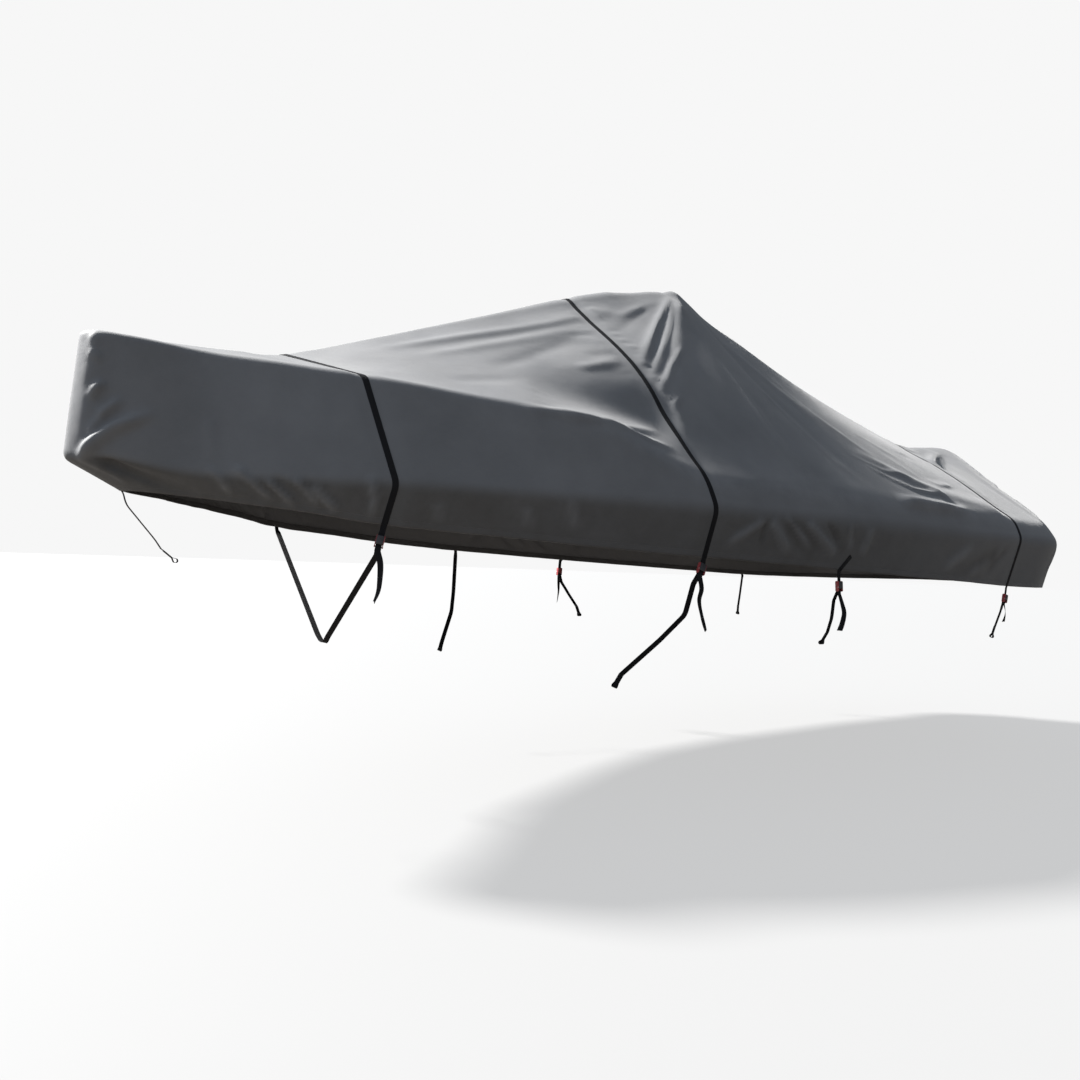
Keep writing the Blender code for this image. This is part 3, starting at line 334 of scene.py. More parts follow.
# Webbing below the hem to port, as places (aft, side, up): the middle of the buckle, the leg's way to the
# trailer or the keel, and the free tail.
BUCKLES = {
    "fore": (1.032, -0.622, -0.178),
    "mid": (2.358, -1.092, -0.243),
    "quarter": (3.262, -1.15, -0.307),
    "stern": (5.035, -1.064, -0.366),
}
LEGS = {
    "fore": ((1.065, -0.06, -0.606), (1.069, -0.025, -0.632), (1.072, 0, -0.64)),
    "mid": ((2.337, -1.02, -0.45), (2.275, -0.93, -0.569), (2.13, -0.8, -0.783)),
    "quarter": ((3.305, -1.08, -0.47), (3.335, -1, -0.6)),
    "stern": ((5.013, -1.05, -0.45), (4.965, -1.025, -0.6)),
}
TAILS = {
    "fore": (
        (1.034, -0.632, -0.27), (1.032, -0.634, -0.349), (1.024, -0.636, -0.386), (1.008, -0.642, -0.416),
    ),
    "mid": (
        (2.348, -1.106, -0.33), (2.342, -1.1, -0.383), (2.356, -1.106, -0.452), (2.387, -1.102, -0.516),
    ),
    "quarter": (
        (3.272, -1.166, -0.4), (3.278, -1.172, -0.44), (3.27, -1.168, -0.49), (3.259, -1.162, -0.525),
    ),
    "stern": ((5.02, -1.076, -0.44), (5.006, -1.082, -0.474), (4.998, -1.078, -0.508)),
}
# The bow strap lies BOW_STRAP_INSIDE within the hem, and goes down through these places.
BOW_STRAP_INSIDE = 0.008
BOW_STRAP = ((0.215, 0, -0.064), (0.33, 0, -0.201), (0.354, 0, -0.237), (0.412, 0, -0.284))


def section_values(section, side):
    """One section's numbers in a row, to port (side -1) or to starboard (side 1)."""
    corners = [(aft, side * half, up) for aft, half, up in (section.hem, section.rub, section.rail)]
    aft, up, bulge = section.ridge
    return np.hstack([np.ravel(corners), aft, 0.0, up, section.rounding, bulge])


def outline():
    """Knots along the rub rail, the sections' numbers at them, and the length all round."""
    port = [section_values(section, -1) for section in SECTIONS]
    starboard = [section_values(section, 1) for section in SECTIONS[-2:0:-1]]
    values = np.array(port + starboard)
    rub = values[:, 3:6]
    steps = norm(np.roll(rub, -1, axis=0) - rub, axis=1)
    return np.concatenate([[0.0], np.cumsum(steps)[:-1]]), values, steps.sum()


KNOTS, VALUES, GIRTH = outline()
STATION = {section.name: KNOTS[i] for i, section in enumerate(SECTIONS)}
# The least length a direction is divided by.
SHORTEST = 1e-9


def numbers_at(stations):
    """The sections' numbers at the stations, on a smooth closed curve through those at the knots."""
    gaps = np.diff(np.append(KNOTS, GIRTH))[:, None]
    rises = (np.roll(VALUES, -1, axis=0) - VALUES) / gaps
    before = np.roll(rises, 1, axis=0)
    gap_before = np.roll(gaps, 1, axis=0)
    slopes = (rises * gap_before + before * gaps) / (gaps + gap_before)
    at = np.asarray(stations) % GIRTH
    i = np.searchsorted(KNOTS, at, side="right") - 1
    j = (i + 1) % len(KNOTS)
    gap = gaps[i]
    t = (at - KNOTS[i])[:, None] / gap
    start = VALUES[i] * (1 + 2 * t) * (1 - t) ** 2 + slopes[i] * gap * t * (1 - t) ** 2
    end = VALUES[j] * t * t * (3 - 2 * t) - slopes[j] * gap * t * t * (1 - t)
    return start + end


def unit(vectors):
    return vectors / np.maximum(norm(vectors, axis=-1, keepdims=True), SHORTEST)


def lengths_along(line):
    """How far along a line each of its places lies."""
    return np.append(0, np.cumsum(norm(np.diff(line, axis=0), axis=1)))


def skirt_lengths(stations):
    """How far it is up the skirt from the hem to the turn at the rub rail."""
    numbers = numbers_at(stations)
    return norm(numbers[:, 3:6] - numbers[:, 0:3], axis=1) - numbers[:, 12]


def row_levels(stations):
    """The rows at each station: the hem's lines first, then even shares of each stretch."""
    lengths = skirt_lengths(stations)
    hem = np.outer(1 / lengths, HEM_LINES)
    rest = 1 - hem[:, -1:]
    levels = [hem, hem[:, -1:] + rest * np.arange(1, STRETCH_ROWS[0] + 1) / STRETCH_ROWS[0]]
    for stretch, count in enumerate(STRETCH_ROWS[1:], start=1):
        steps = stretch + np.arange(1, count + 1) / count
        levels.append(np.tile(steps, (len(lengths), 1)))
    return np.hstack(levels)


def sections_at(stations, levels):
    """Points of the cloth's outer face, before its folds: one line of points for each station."""
    numbers = numbers_at(stations)
    hem, rub, rail, ridge = (numbers[:, k : k + 3] for k in (0, 3, 6, 9))
    at_rub, at_rail, at_ridge, bulge = (numbers[:, k : k + 1] for k in (12, 13, 14, 15))
    rub_low = rub + unit(hem - rub) * at_rub
    rub_high = rub + unit(rail - rub) * at_rub
    rail_low = rail + unit(rub - rail) * at_rail
    rail_high = rail + unit(ridge - rail) * at_rail
    ridge_low = ridge + unit(rail - ridge) * at_ridge
    across = ridge_low * (1, -1, 1)
    slope = unit(ridge - rail)
    lift = unit(np.array([0.0, 0.0, 1.0]) - slope * slope[:, 2:3])
    lines = []
    for level in np.asarray(levels).T:
        stretch = min(int(level[0]), len(STRETCH_ROWS) - 1)
        t = level[:, None] - stretch
        if stretch == 0:
            points = hem + (rub_low - hem) * t
        elif stretch == 1:
            points = rub_low * (1 - t) ** 2 + 2 * rub * t * (1 - t) + rub_high * t * t
        elif stretch == 2:
            points = rub_high + (rail_low - rub_high) * t
        elif stretch == 3:
            points = rail_low * (1 - t) ** 2 + 2 * rail * t * (1 - t) + rail_high * t * t
        elif stretch == 4:
            points = rail_high + (ridge_low - rail_high) * t + lift * bulge * 16 * t * t * (1 - t) ** 2
        else:
            half = t / 2
            points = ridge_low * (1 - half) ** 2 + 2 * ridge * half * (1 - half) + across * half * half
        lines.append(points)
    return np.stack(lines, axis=1)


def lane_station(lane):
    return STATION[lane.section] + lane.behind


def port_stations():
    """Stations from the stem to the middle of the stern, with a flat strip under each strap."""
    stations = []
    for i, spacing in enumerate(SPACING):
        gap = KNOTS[i + 1] - KNOTS[i]
        stations += list(np.linspace(KNOTS[i], KNOTS[i + 1], max(2, round(gap / spacing)), endpoint=False))
    stations.append(KNOTS[len(SPACING)])
    for lane in LANES.values():
        middle = lane_station(lane)
        edges = (middle - lane.half, middle + lane.half)
        stations = [s for s in stations if min(abs(s - edge) for edge in edges) > EDGE_GAP]
        if lane.half < WIDE_HALF:
            stations = [s for s in stations if not edges[0] < s < edges[1]]
        stations += edges
    return np.array(sorted(stations))


def round_quads(index):
    """Quads between neighbouring rows and columns, where the last column is the first one's neighbour."""
    here, there = index, np.roll(index, -1, axis=0)
    return np.stack([here[:, :-1], there[:, :-1], there[:, 1:], here[:, 1:]], axis=-1).reshape(-1, 4)


class Net:
    """The cover's outer face as a net of points: stations round the boat, and rows from hem to ridge."""

    def __init__(self):
        port = port_stations()
        self.stations = np.concatenate([port, GIRTH - port[-2:0:-1]])
        self.columns = len(self.stations)
        self.levels = row_levels(self.stations)
        self.rows = self.levels.shape[1]
        self.middle = len(port) - 1
        last = self.rows - 1
        net = sections_at(self.stations, self.levels)
        steps = norm(np.diff(net, axis=1), axis=2)
        self.up_cloth = np.hstack([np.zeros((self.columns, 1)), np.cumsum(steps, axis=1)])
        twins = [min(column, 2 * self.middle - column) for column in range(self.columns)]
        below = np.arange(self.columns * last).reshape(self.columns, last)
        self.index = np.hstack([below, self.columns * last + np.array(twins)[:, None]])
        self.points = np.vstack([net[:, :last].reshape(-1, 3), net[: self.middle + 1, last]])
        self.points[self.columns * last :, 1] = 0.0
        self.corners = round_quads(self.index)

    def spread(self, values):
        """Values given for each column and row, as one for each point."""
        flat = np.zeros(len(self.points))
        flat[self.index] = values
        return flat

    def normals(self):
        a, b, c, d = (self.points[self.corners[:, k]] for k in range(4))
        facing = np.cross(c - a, d - b)
        total = np.zeros_like(self.points)
        for k in range(4):
            for axis in range(3):
                total[:, axis] += np.bincount(self.corners[:, k], facing[:, axis], len(total))
        return unit(total)

    def away_from(self, lane):
        """How far each column and row lies beyond a strap's strip."""
        round_boat = np.minimum(self.stations, GIRTH - self.stations)
        away = np.maximum(np.abs(round_boat - lane_station(lane)) - lane.half, 0)
        above = np.maximum(self.levels - lane.top - STRIP_OVERRUN, 0) * LEVEL_AWAY
        return away[:, None] + above

    def free(self):
        """How freely each point folds: 0 where a strap holds the cloth down, 1 away from the straps."""
        free = np.ones(len(self.points))
        for lane in LANES.values():
            free = np.minimum(free, self.spread(1 - np.exp(-((self.away_from(lane) / HOLD) ** 2))))
        return free

    def lift(self, heights):
        self.points = self.points + self.normals() * heights[:, None]


def beside(points, normals, start, run):
    """How far each point is from a line along the cloth, and how far along the line it lies."""
    t = np.clip((points - start) @ run / (run @ run), 0, 1)
    off = points - start - t[:, None] * run
    depth = np.einsum("ij,ij->i", off, normals)
    away = norm(off - depth[:, None] * normals, axis=1)
    return np.where(np.abs(depth) < SAME_SIDE, away, FAR), t


def fold_heights(net, normals):
    """The main folds' height at each point."""
    heights = np.zeros(len(net.points))
    for fold in FOLDS:
        for mirror, share in ((1, 1.0), (-1, fold.twin)):
            start = np.array(fold.start) * (1, mirror, 1)
            run = np.array(fold.end) * (1, mirror, 1) - start
            away, t = beside(net.points, normals, start, run)
            grown = fold.narrow + (1 - fold.narrow) * t
            fade = np.minimum(1, t / FOLD_RISE) * (1 - t) ** FOLD_FADE * grown
            heights += share * fold.height * fade * np.exp(-((away / fold.width / grown) ** 2))
    return heights


def crease_heights(net, normals, creases):
    """The smaller creases' height at each point."""
    heights = np.zeros(len(net.points))
    for crease in creases:
        for mirror, share in ((1, 1.0), (-1, crease.twin)):
            places = np.array(crease.places) * (1, mirror, 1)
            near = np.full(len(net.points), FAR)
            along = np.zeros(len(net.points))
            ends = lengths_along(places)
            for start, run, before in zip(places, np.diff(places, axis=0), ends):
                away, t = beside(net.points, normals, start, run)
                closer = away < near
                near = np.where(closer, away, near)
                along = np.where(closer, (before + t * norm(run)) / ends[-1], along)
            grown = crease.narrow + (1 - crease.narrow) * along
            near = near / crease.width / grown
            fade = np.minimum(1, along / CREASE_RISE) * np.minimum(1, (1 - along) / CREASE_FADE) * grown
            dip = CREASE_DIP * np.exp(-((near / DIP_SPREAD) ** 2))
            crest = (1 + CREASE_DIP) * np.exp(-(near**2)) - dip
            heights += share * crease.height * fade * crest
    return heights


def pucker_creases(net):
    """Short creases where the mid and stern straps pull the cloth in, a few centimetres apart."""
    draws = np.random.default_rng(PUCKER_SEED)
    found = []
    for pucker in PUCKERS:
        line, across = strap_line(net, pucker.strap, -1)
        levels = net.levels[0]
        count = int((levels <= LANES[pucker.strap].top).sum())
        lengths = lengths_along(line[1:])
        first, last = np.interp((pucker.low, pucker.high), levels[:count], lengths)
        for place in np.arange(first, last, pucker.gap):
            place += draws.uniform(-PUCKER_STRAY, PUCKER_STRAY) * pucker.gap
            k = int(np.searchsorted(lengths, place))
            for way, share in ((-1, PUCKER_AHEAD), (1, 1.0)):
                start = line[k] + way * across[k] * PUCKER_START
                sag = (0.0, PUCKER_SAG[0], PUCKER_SAG[1] * draws.uniform(0, 1))
                end = start + way * across[k] * draws.uniform(*PUCKER_LENGTHS) + sag
                height = pucker.height * draws.uniform(*PUCKER_SHARES) * share
                places = (tuple(start), tuple(end))
                found.append(Crease("pucker", PUCKER_WIDTH, height, PUCKER_TWIN, PUCKER_NARROW, places))
    return found


def waves(places, rows, seed):
    """Soft random unevenness: waves of several sizes and heights, added up."""
    total = np.zeros(len(places))
    for k, (size, height) in enumerate(rows):
        shift = Vector([(seed + k) * step for step in SEED_STEP])
        total += height * np.array([noise.noise(Vector(place) / size + shift) for place in places])
    return total


@cache
def draped_net(crease_strength, unevenness, strap_dent):
    """The net with its folds, creases and unevenness. Its relief runs from -1 in troughs to 1 on crests."""
    net = Net()
    free = net.free()
    normals = net.normals()
    folded = fold_heights(net, normals) * (FOLDS_UNDER_STRAPS + (1 - FOLDS_UNDER_STRAPS) * free)
    net.lift(folded)
    creases = CREASES + tuple(pucker_creases(net))
    small = crease_heights(net, net.normals(), creases) * crease_strength
    uneven = waves(net.points, UNEVEN_WAVES, UNEVEN_SEED)
    swell = np.zeros(len(net.points))
    for name in GIRTH_STRAPS:
        away = net.away_from(LANES[name]) / SWELL_REACH
        swell = np.maximum(swell, net.spread(away * np.exp(1 - away)))
    swell *= 1 + waves(net.points, SWELL_WAVES, SWELL_SEED)
    above_hem = net.spread(net.up_cloth)
    round_boat = net.spread(np.tile(net.stations[:, None], (1, net.rows)))
    along_hem = np.column_stack([round_boat, np.zeros_like(round_boat), above_hem * HEM_WAVE_LEAN])
    scallops = np.exp(-above_hem / HEM_WAVE_REACH) * waves(along_hem, HEM_WAVES, HEM_SEED)
    at_stitches = np.exp(-(((above_hem - HEM_LINES[STITCHED_LINE]) / STITCH_REACH) ** 2))
    heights = small + unevenness * uneven + strap_dent * swell + scallops
    net.lift((heights - STITCH_DENT * at_stitches) * free)
    net.relief = np.clip((folded + small) / FULL_RELIEF, -1, 1)
    return net


def net_of(cloth):
    return draped_net(cloth.crease_strength, cloth.unevenness, cloth.strap_dent)


def strap_line(net, name, side):
    """A strap's line up the cloth's outer face, from just past the hem, and the direction across it.

    That direction runs forward to aft on the cloth's own cross lines, so it is longer than 1 where the
    strap runs askew, which keeps the webbing at its full width.
    """
    lane = LANES[name]
    edges = []
    for station in (lane_station(lane) - lane.half, lane_station(lane) + lane.half):
        place = station if side < 0 else GIRTH - station
        column = int(np.argmin(np.abs(net.stations - place)))
        levels = net.levels[column]
        count = int((levels <= lane.top + LEVEL_SLACK).sum())
        edges.append(net.points[net.index[column, :count]])
    count = min(map(len, edges))
    forward, aft = (edge[:count] for edge in edges)
    at_hem, at_top = LEAN[name]
    share = at_hem + (at_top - at_hem) * levels[:count] / lane.top
    line = forward + (aft - forward) * share[:, None]
    across = unit(aft - forward)
    across /= np.sqrt(1 - np.sum(across * tangents(line), axis=1, keepdims=True) ** 2)
    past_hem = line[0] + unit(line[0] - line[1]) * PAST_HEM
    return np.vstack([past_hem, line]), np.vstack([across[0], across])


# ---- Placing pieces in the frame ----

CLOTH_THICKNESS = 0.002
# The frame's origin in the tables' measure: the cloth's inner face at the peak.
ORIGIN = sections_at([STATION["peak"]], [[RIDGE]])[0, 0] - (0.0, 0.0, CLOTH_THICKNESS)
# How far a strap's line runs below the hem's edge.
PAST_HEM = 0.012
ROOT = "root"
COVER = "boat_cover"
UV_MAP = "Cloth"


def in_frame(points):
    return np.asarray(points, float) - ORIGIN


def tangents(path):
    forward = unit(np.diff(path, axis=0))
    return unit(np.vstack([forward[:1], forward[:-1] + forward[1:], forward[-1:]]))


def squared(path, across):
    """The direction across a path, turned square to it at each point."""
    along = tangents(path)
    return unit(across - along * np.sum(across * along, axis=1, keepdims=True))


def add_object(name, data):
    thing = bpy.data.objects.new(name, data)
    bpy.context.scene.collection.objects.link(thing)
    return thing


def make_mesh(name, points, faces, corner_uv, material):
    """A smooth mesh object at the origin, with a UV place in metres for each face corner."""
    mesh = bpy.data.meshes.new(name)
    mesh.from_pydata(np.asarray(points).tolist(), [], faces)
    layer = mesh.uv_layers.new(name=UV_MAP)
    layer.data.foreach_set("uv", np.ascontiguousarray(corner_uv, dtype=np.float32).ravel())
    mesh.materials.append(material)
    mesh.shade_smooth()
    return add_object(name, mesh)


def point_mask(mesh, name, values):
    mask = mesh.attributes.new(name, "FLOAT", "POINT")
    mask.data.foreach_set("value", np.ascontiguousarray(values, dtype=np.float32))


# ---- Cloth ----

# How dark the skirt is painted, as painted shade, at places aft of the stem, how much lighter its crests
# are painted than its troughs, and how grimy the inside of the hem is.
SKIRT_SHADE_AFT = (0.4, 1.6, 3.6, 5.0)
SKIRT_SHADE_THERE = (1.1, 0.8, 0.8, 0.3)
SHADE_OFF_CRESTS = 0.6
GRIME_INSIDE = 0.9
# Levels over which the cloth is rubbed, to each side of the middle of the rail.
RUBBED_LEVELS = 0.35
# How far the hem's rounded edge stands below its corners, as a share of its thickness.
HEM_NOSE = 0.4


def painted_skirt_shade_mask(net):
    """Painted shade below the rub rail: most at the bow and in the troughs, least at the stern."""
    below = np.clip(ABOVE_RUB_RAIL - net.levels, 0, 1)
    skirt = net.spread(below * below * (3 - 2 * below))
    there = np.interp(net.points[:, 0], SKIRT_SHADE_AFT, SKIRT_SHADE_THERE)
    return np.clip(skirt * (there - SHADE_OFF_CRESTS * net.relief), 0, 1)


def make_cover(net, cloth):
    """The cloth as one sheet, whose hem turns in round its edge and up the inner face."""
    normals = net.normals()
    turned = net.index[:, TURNED_LINE::-1]
    inner = net.points[turned] - normals[turned] * cloth.hem_thickness
    hem, above = net.index[:, 0], net.index[:, 1]
    down = unit(net.points[hem] - net.points[above])
    edge = net.points[hem] - normals[hem] * cloth.hem_thickness / 2 + down * cloth.hem_thickness * HEM_NOSE
    count, lines = len(net.points), TURNED_LINE + 1
    inner_index = count + np.arange(net.columns * lines).reshape(net.columns, lines)
    edge_index = count + net.columns * lines + np.arange(net.columns)
    index = np.hstack([inner_index, edge_index[:, None], net.index])
    points = in_frame(np.vstack([net.points, inner.reshape(-1, 3), edge]))
    below = -np.array([*HEM_LINES[TURNED_LINE::-1], 0.0]) - cloth.hem_thickness
    below[-1] = -cloth.hem_thickness / 2
    up_cloth = np.hstack([np.tile(below, (net.columns, 1)), net.up_cloth])
    grid = np.stack([np.tile(net.stations[:, None], (1, up_cloth.shape[1])), up_cloth], axis=-1)
    grid = np.concatenate([grid, grid[:1] + (GIRTH, 0.0)])
    uv = np.stack([grid[:-1, :-1], grid[1:, :-1], grid[1:, 1:], grid[:-1, 1:]], axis=2).reshape(-1, 2)
    cover = make_mesh(COVER, points, round_quads(index).tolist(), uv, cloth_material(cloth))
    worn = net.spread(np.exp(-(((net.levels - MIDDLE_OF_RAIL) / RUBBED_LEVELS) ** 2)))
    inside = np.ones(len(points) - count)
    point_mask(cover.data, "worn", np.concatenate([worn, 0.0 * inside]))
    # The skirt's painted shade, darker in its troughs, and the grime inside the hem, as one mask.
    point_mask(cover.data, "shade_and_grime", np.concatenate([painted_skirt_shade_mask(net), GRIME_INSIDE * inside]))
    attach(cover, ROOT)
    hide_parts("cover_shell")
    ends = (net.index[0], net.index[net.middle], net.index[: net.middle + 1, -1])
    length = sum(norm(np.diff(net.points[line], axis=0), axis=1).sum() for line in ends)
    a, b, c, d = (net.points[corner] for corner in net.corners.T)
    area = norm(np.cross(c - a, d - b), axis=1).sum() / 2


# ---- Webbing ----

# The gap between webbing and what it lies on, the one between a lap's two layers, and the lap's length.
CLEARANCE = 0.0006
LAYER_GAP = 0.0004
SEWN_LAP = 0.045
END_LOOP_RADIUS = 0.009
SEAM_MARGIN = 0.0035
# A loop's two layers meet at its neck, so many radii from its middle, and it turns between these angles.
LOOP_NECK = 1.9
LOOP_TURN = (-52, -308)
LOOP_PLACES = 26
# How many lines of points run along a ribbon's face, and round its edge.
FACE_LINES = 7
EDGE_LINES = 7
# A free tail leaves its buckle straight for TAIL_STRAIGHT, as a curve of so many steps from place to place.
# Its first places lie inside the buckle, up to THROUGH, and its twist grows by this power of its length.
TAIL_STRAIGHT = 0.012
TAIL_STEPS = 8
THROUGH = 2
TWIST_POWER = 1.3
# How far each free tail turns on its own line, in degrees, from its buckle to its end, and the slope of
# the cut across its end.
TAIL_TWISTS = {"fore": 65, "mid": -50, "quarter": 55, "stern": -60}
TAIL_CUTS = {"fore": 0.9, "mid": 0.15, "quarter": -0.3, "stern": 0.2}

# A sewn box on webbing: its middle on the webbing's face, its directions, and half its length.
Seam = namedtuple("Seam", "middle across along out half_length")
# Where a quarter strap is sewn to the skirt, measured down from its top, and where the bow strap is sewn to
# the hem, as shares of its lap. It turns away so many thicknesses below the hem.
QUARTER_SEAMS = (0.02, 0.065)
QUARTER_SEAM_HALF = 0.0165
BOW_TURN = 4
BOW_SEAM = 0.55
BOW_SEAM_HALF = 0.36


def smooth_path(places, steps):
    """A Catmull-Rom curve through the places, with so many steps between each two."""
    places = np.asarray(places, float)
    ends = np.vstack([2 * places[0] - places[1], places, 2 * places[-1] - places[-2]])
    curve = []
    for before, here, there, after in zip(ends, ends[1:], ends[2:], ends[3:]):
        for t in np.arange(steps) / steps:
            bend = t * t * (before - 2.5 * here + 2 * there - 0.5 * after)
            twist = t**3 * (1.5 * (here - there) + 0.5 * (after - before))
            curve.append(here + 0.5 * t * (there - before) + bend + twist)
    return curve + [places[-1]]


def eased(places, reach=0.02, longest=0.03, steps=5, most=0.4):
    """Rounds a path's corners within the given reach or most of a run, and divides its long runs."""
    places = [np.asarray(place, float) for place in places]
    path = [places[0]]
    for before, corner, after in zip(places, places[1:], places[2:]):
        back, on = before - corner, after - corner
        near = min(reach, most * norm(back), most * norm(on))
        start, end = corner + unit(back) * near, corner + unit(on) * near
        for t in np.linspace(0, 1, steps):
            path.append(start * (1 - t) ** 2 + 2 * corner * t * (1 - t) + end * t * t)
    path.append(places[-1])
    divided = [path[0]]
    for here, there in zip(path, path[1:]):
        count = max(1, math.ceil(norm(there - here) / longest))
        divided += [here + (there - here) * k / count for k in range(1, count + 1)]
    return divided


def loop_round(centre, along, across, radius, thickness):
    """Webbing from its sewn-down end, round a centre, and off in the direction along."""
    along = unit(along - across * (along @ across))
    out = np.cross(across, along)
    neck = centre + along * LOOP_NECK * radius
    rise = out * (thickness + LAYER_GAP) / 2
    places = [neck + along * SEWN_LAP - rise, neck + along * SEWN_LAP / 2 - rise, neck - rise]
    for angle in np.radians(np.linspace(*LOOP_TURN, LOOP_PLACES)):
        places.append(centre + radius * (along * np.cos(angle) + out * np.sin(angle)))
    places += [neck + rise, neck + along * SEWN_LAP / 2 + rise, neck + along * SEWN_LAP + rise]
    return places, lap_seams(neck + along * SEWN_LAP / 2, across, along, out, thickness)


def lap_seams(middle, across, along, out, thickness):
    """The two faces of the sewn box that holds a lap of webbing."""
    rise = out * (thickness + LAYER_GAP / 2)
    half_length = SEWN_LAP / 2 - SEAM_MARGIN
    return [Seam(middle + way * rise, across, along, way * out, half_length) for way in (-1, 1)]


def mirrored(places):
    return [np.array(place) * (1, -1, 1) for place in places]


def lifted(line, across, thickness):
    """Lifts a line off the cloth by half the webbing and its clearance."""
    return line + unit(np.cross(across, tangents(line))) * (CLEARANCE + thickness / 2)


def over_cloth(net, name, thickness):
    """A strap's middle line over the cover, from the port hem to the starboard one, with its across."""
    port, port_across = strap_line(net, name, -1)
    starboard, starboard_across = strap_line(net, name, 1)
    line = np.vstack([port, starboard[-2::-1]])
    across = np.vstack([port_across, starboard_across[-2::-1]])
    return lifted(line, across, thickness), across


def ribbon_profile(width, thickness):
    """Places (across, out) round a flat strap, whose edges are rounded."""
    flat = np.linspace(-1, 1, FACE_LINES) * (width - thickness) / 2
    turn = np.radians(np.linspace(-90, 90, EDGE_LINES))[1:-1]
    edge = np.column_stack([(width - thickness + np.cos(turn) * thickness) / 2, np.sin(turn) * thickness / 2])
    face = np.column_stack([flat, np.full_like(flat, -thickness / 2)])
    half = np.vstack([face, edge])
    return np.vstack([half, -half])


def make_webbing(name, node, path, across, webbing, cut=0.0, twist=None):
    """A flat woven strap along a path. twist turns it on its line, and cut slants its last end."""
    path, across = np.asarray(path), np.asarray(across)
    along = tangents(path)
    if twist is not None:
        angle = np.radians(twist)[:, None]
        across = across * np.cos(angle) + np.cross(along, across) * np.sin(angle)
    out = unit(np.cross(along, across))
    profile = ribbon_profile(webbing.width, webbing.thickness)
    rings = path[:, None] + across[:, None] * profile[:, :1] + out[:, None] * profile[:, 1:]
    rings[-1] += along[-1] * profile[:, :1] * cut
    count, around = len(path), len(profile)
    here = np.arange(count * around).reshape(count, around)
    there = np.roll(here, -1, axis=1)
    sides = np.stack([there[:-1], there[1:], here[1:], here[:-1]], axis=-1).reshape(-1, 4)
    lengths = lengths_along(path)
    uv = np.stack(np.broadcast_arrays(profile[None, :, 0], lengths[:, None]), axis=-1).reshape(-1, 2)
    faces = sides.tolist() + [here[0, ::-1].tolist(), here[-1].tolist()]
    corner_uv = uv[np.concatenate([np.ravel(face) for face in faces])]
    strap = make_mesh(name, in_frame(rings.reshape(-1, 3)), faces, corner_uv, webbing_material(webbing))
    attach(strap, ROOT)
    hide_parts(node)
    return strap


class Buckle:
    """Where a cam buckle sits: its middle, and its directions across, along (down) and out."""

    def __init__(self, name, side, hem, across):
        self.middle = np.array(BUCKLES[name]) * (1, -side, 1)
        self.along = unit(self.middle - hem)
        self.across = unit(across - self.along * (across @ self.along))
        self.out = np.cross(self.across, self.along) * side
        self.name, self.side = name, side

    def at(self, along, out=0.0):
        return self.middle + self.along * along + self.out * out

    def tail(self):
        """The webbing's way through the buckle and on to its free end."""
        free = TAILS[self.name] if self.side < 0 else mirrored(TAILS[self.name])
        through = [self.at(-CHEEK_HALF_LENGTH), self.at(0.0), self.at(CHEEK_HALF_LENGTH)]
        return through + smooth_path([self.at(CHEEK_HALF_LENGTH + TAIL_STRAIGHT), *free], TAIL_STEPS)

    def leg(self, thickness):
        """The leg's way from its loop round the buckle's bar to the last place before the trailer."""
        places = LEGS[self.name] if self.side < 0 else mirrored(LEGS[self.name])
        bar = self.at(BAR_ALONG, BAR_OUT)
        radius = BAR_RADIUS + CLEARANCE + thickness / 2
        loop, seams = loop_round(bar, places[0] - bar, self.across, radius, thickness)
        return loop, list(places), seams

    def matrix(self):
        axes = np.stack([self.across * self.side, self.along, self.out, in_frame(self.middle)], axis=1)
        return Matrix([*map(list, axes), (0.0, 0.0, 0.0, 1.0)])


def end_loop(path, across, thickness):
    """Closes a path with a sewn loop at its last place."""
    centre = np.asarray(path[-1])
    back, seams = loop_round(centre, np.asarray(path[-2]) - centre, across, END_LOOP_RADIUS, thickness)
    return eased([*path[:-1], back[-1]])[:-1] + back[::-1], seams


def free_twist(path, start, name, side):
    """How far the path is turned at each place: nothing up to the start, and then more and more."""
    lengths = lengths_along(path)
    share = np.clip((lengths - lengths[start]) / (lengths[-1] - lengths[start]), 0, 1)
    return -side * TAIL_TWISTS[name] * share**TWIST_POWER


def make_leg(name, node, buckle, webbing):
    """A strap from its loop on the buckle's bar to its end loop."""
    loop, places, seams = buckle.leg(webbing.thickness)
    path, more = end_loop(loop + places, buckle.across, webbing.thickness)
    make_webbing(name, node, path, squared(path, buckle.across), webbing)
    return seams + more


def make_girth_strap(name, net, webbing):
    """One strap right over the cover, from its lower end to starboard to its free tail to port."""
    line, across = over_cloth(net, name, webbing.thickness)
    buckle = Buckle(name, -1, line[0], across[0])
    tail = buckle.tail()
    if name == "fore":
        loop, places, seams = buckle.leg(webbing.thickness)
        way = eased([*places, *mirrored(places[-2::-1]), line[-1]])
        start = loop + way[:-1]
    else:
        start, seams = end_loop([line[-1], *mirrored(LEGS[name])], buckle.across, webbing.thickness)
        start = start[:0:-1]
        seams = seams + make_leg(f"{name}_leg_webbing", f"{name}_leg_port", buckle, webbing)
    path = np.vstack([start, line[::-1], tail])
    sides = squared(path, buckle.across)
    sides[len(start) : len(start) + len(line)] = across[::-1]
    twist = free_twist(path, len(start) + len(line) + THROUGH, name, -1)
    make_webbing(f"{name}_webbing", f"{name}_strap", path, sides, webbing, TAIL_CUTS[name], twist)
    return seams


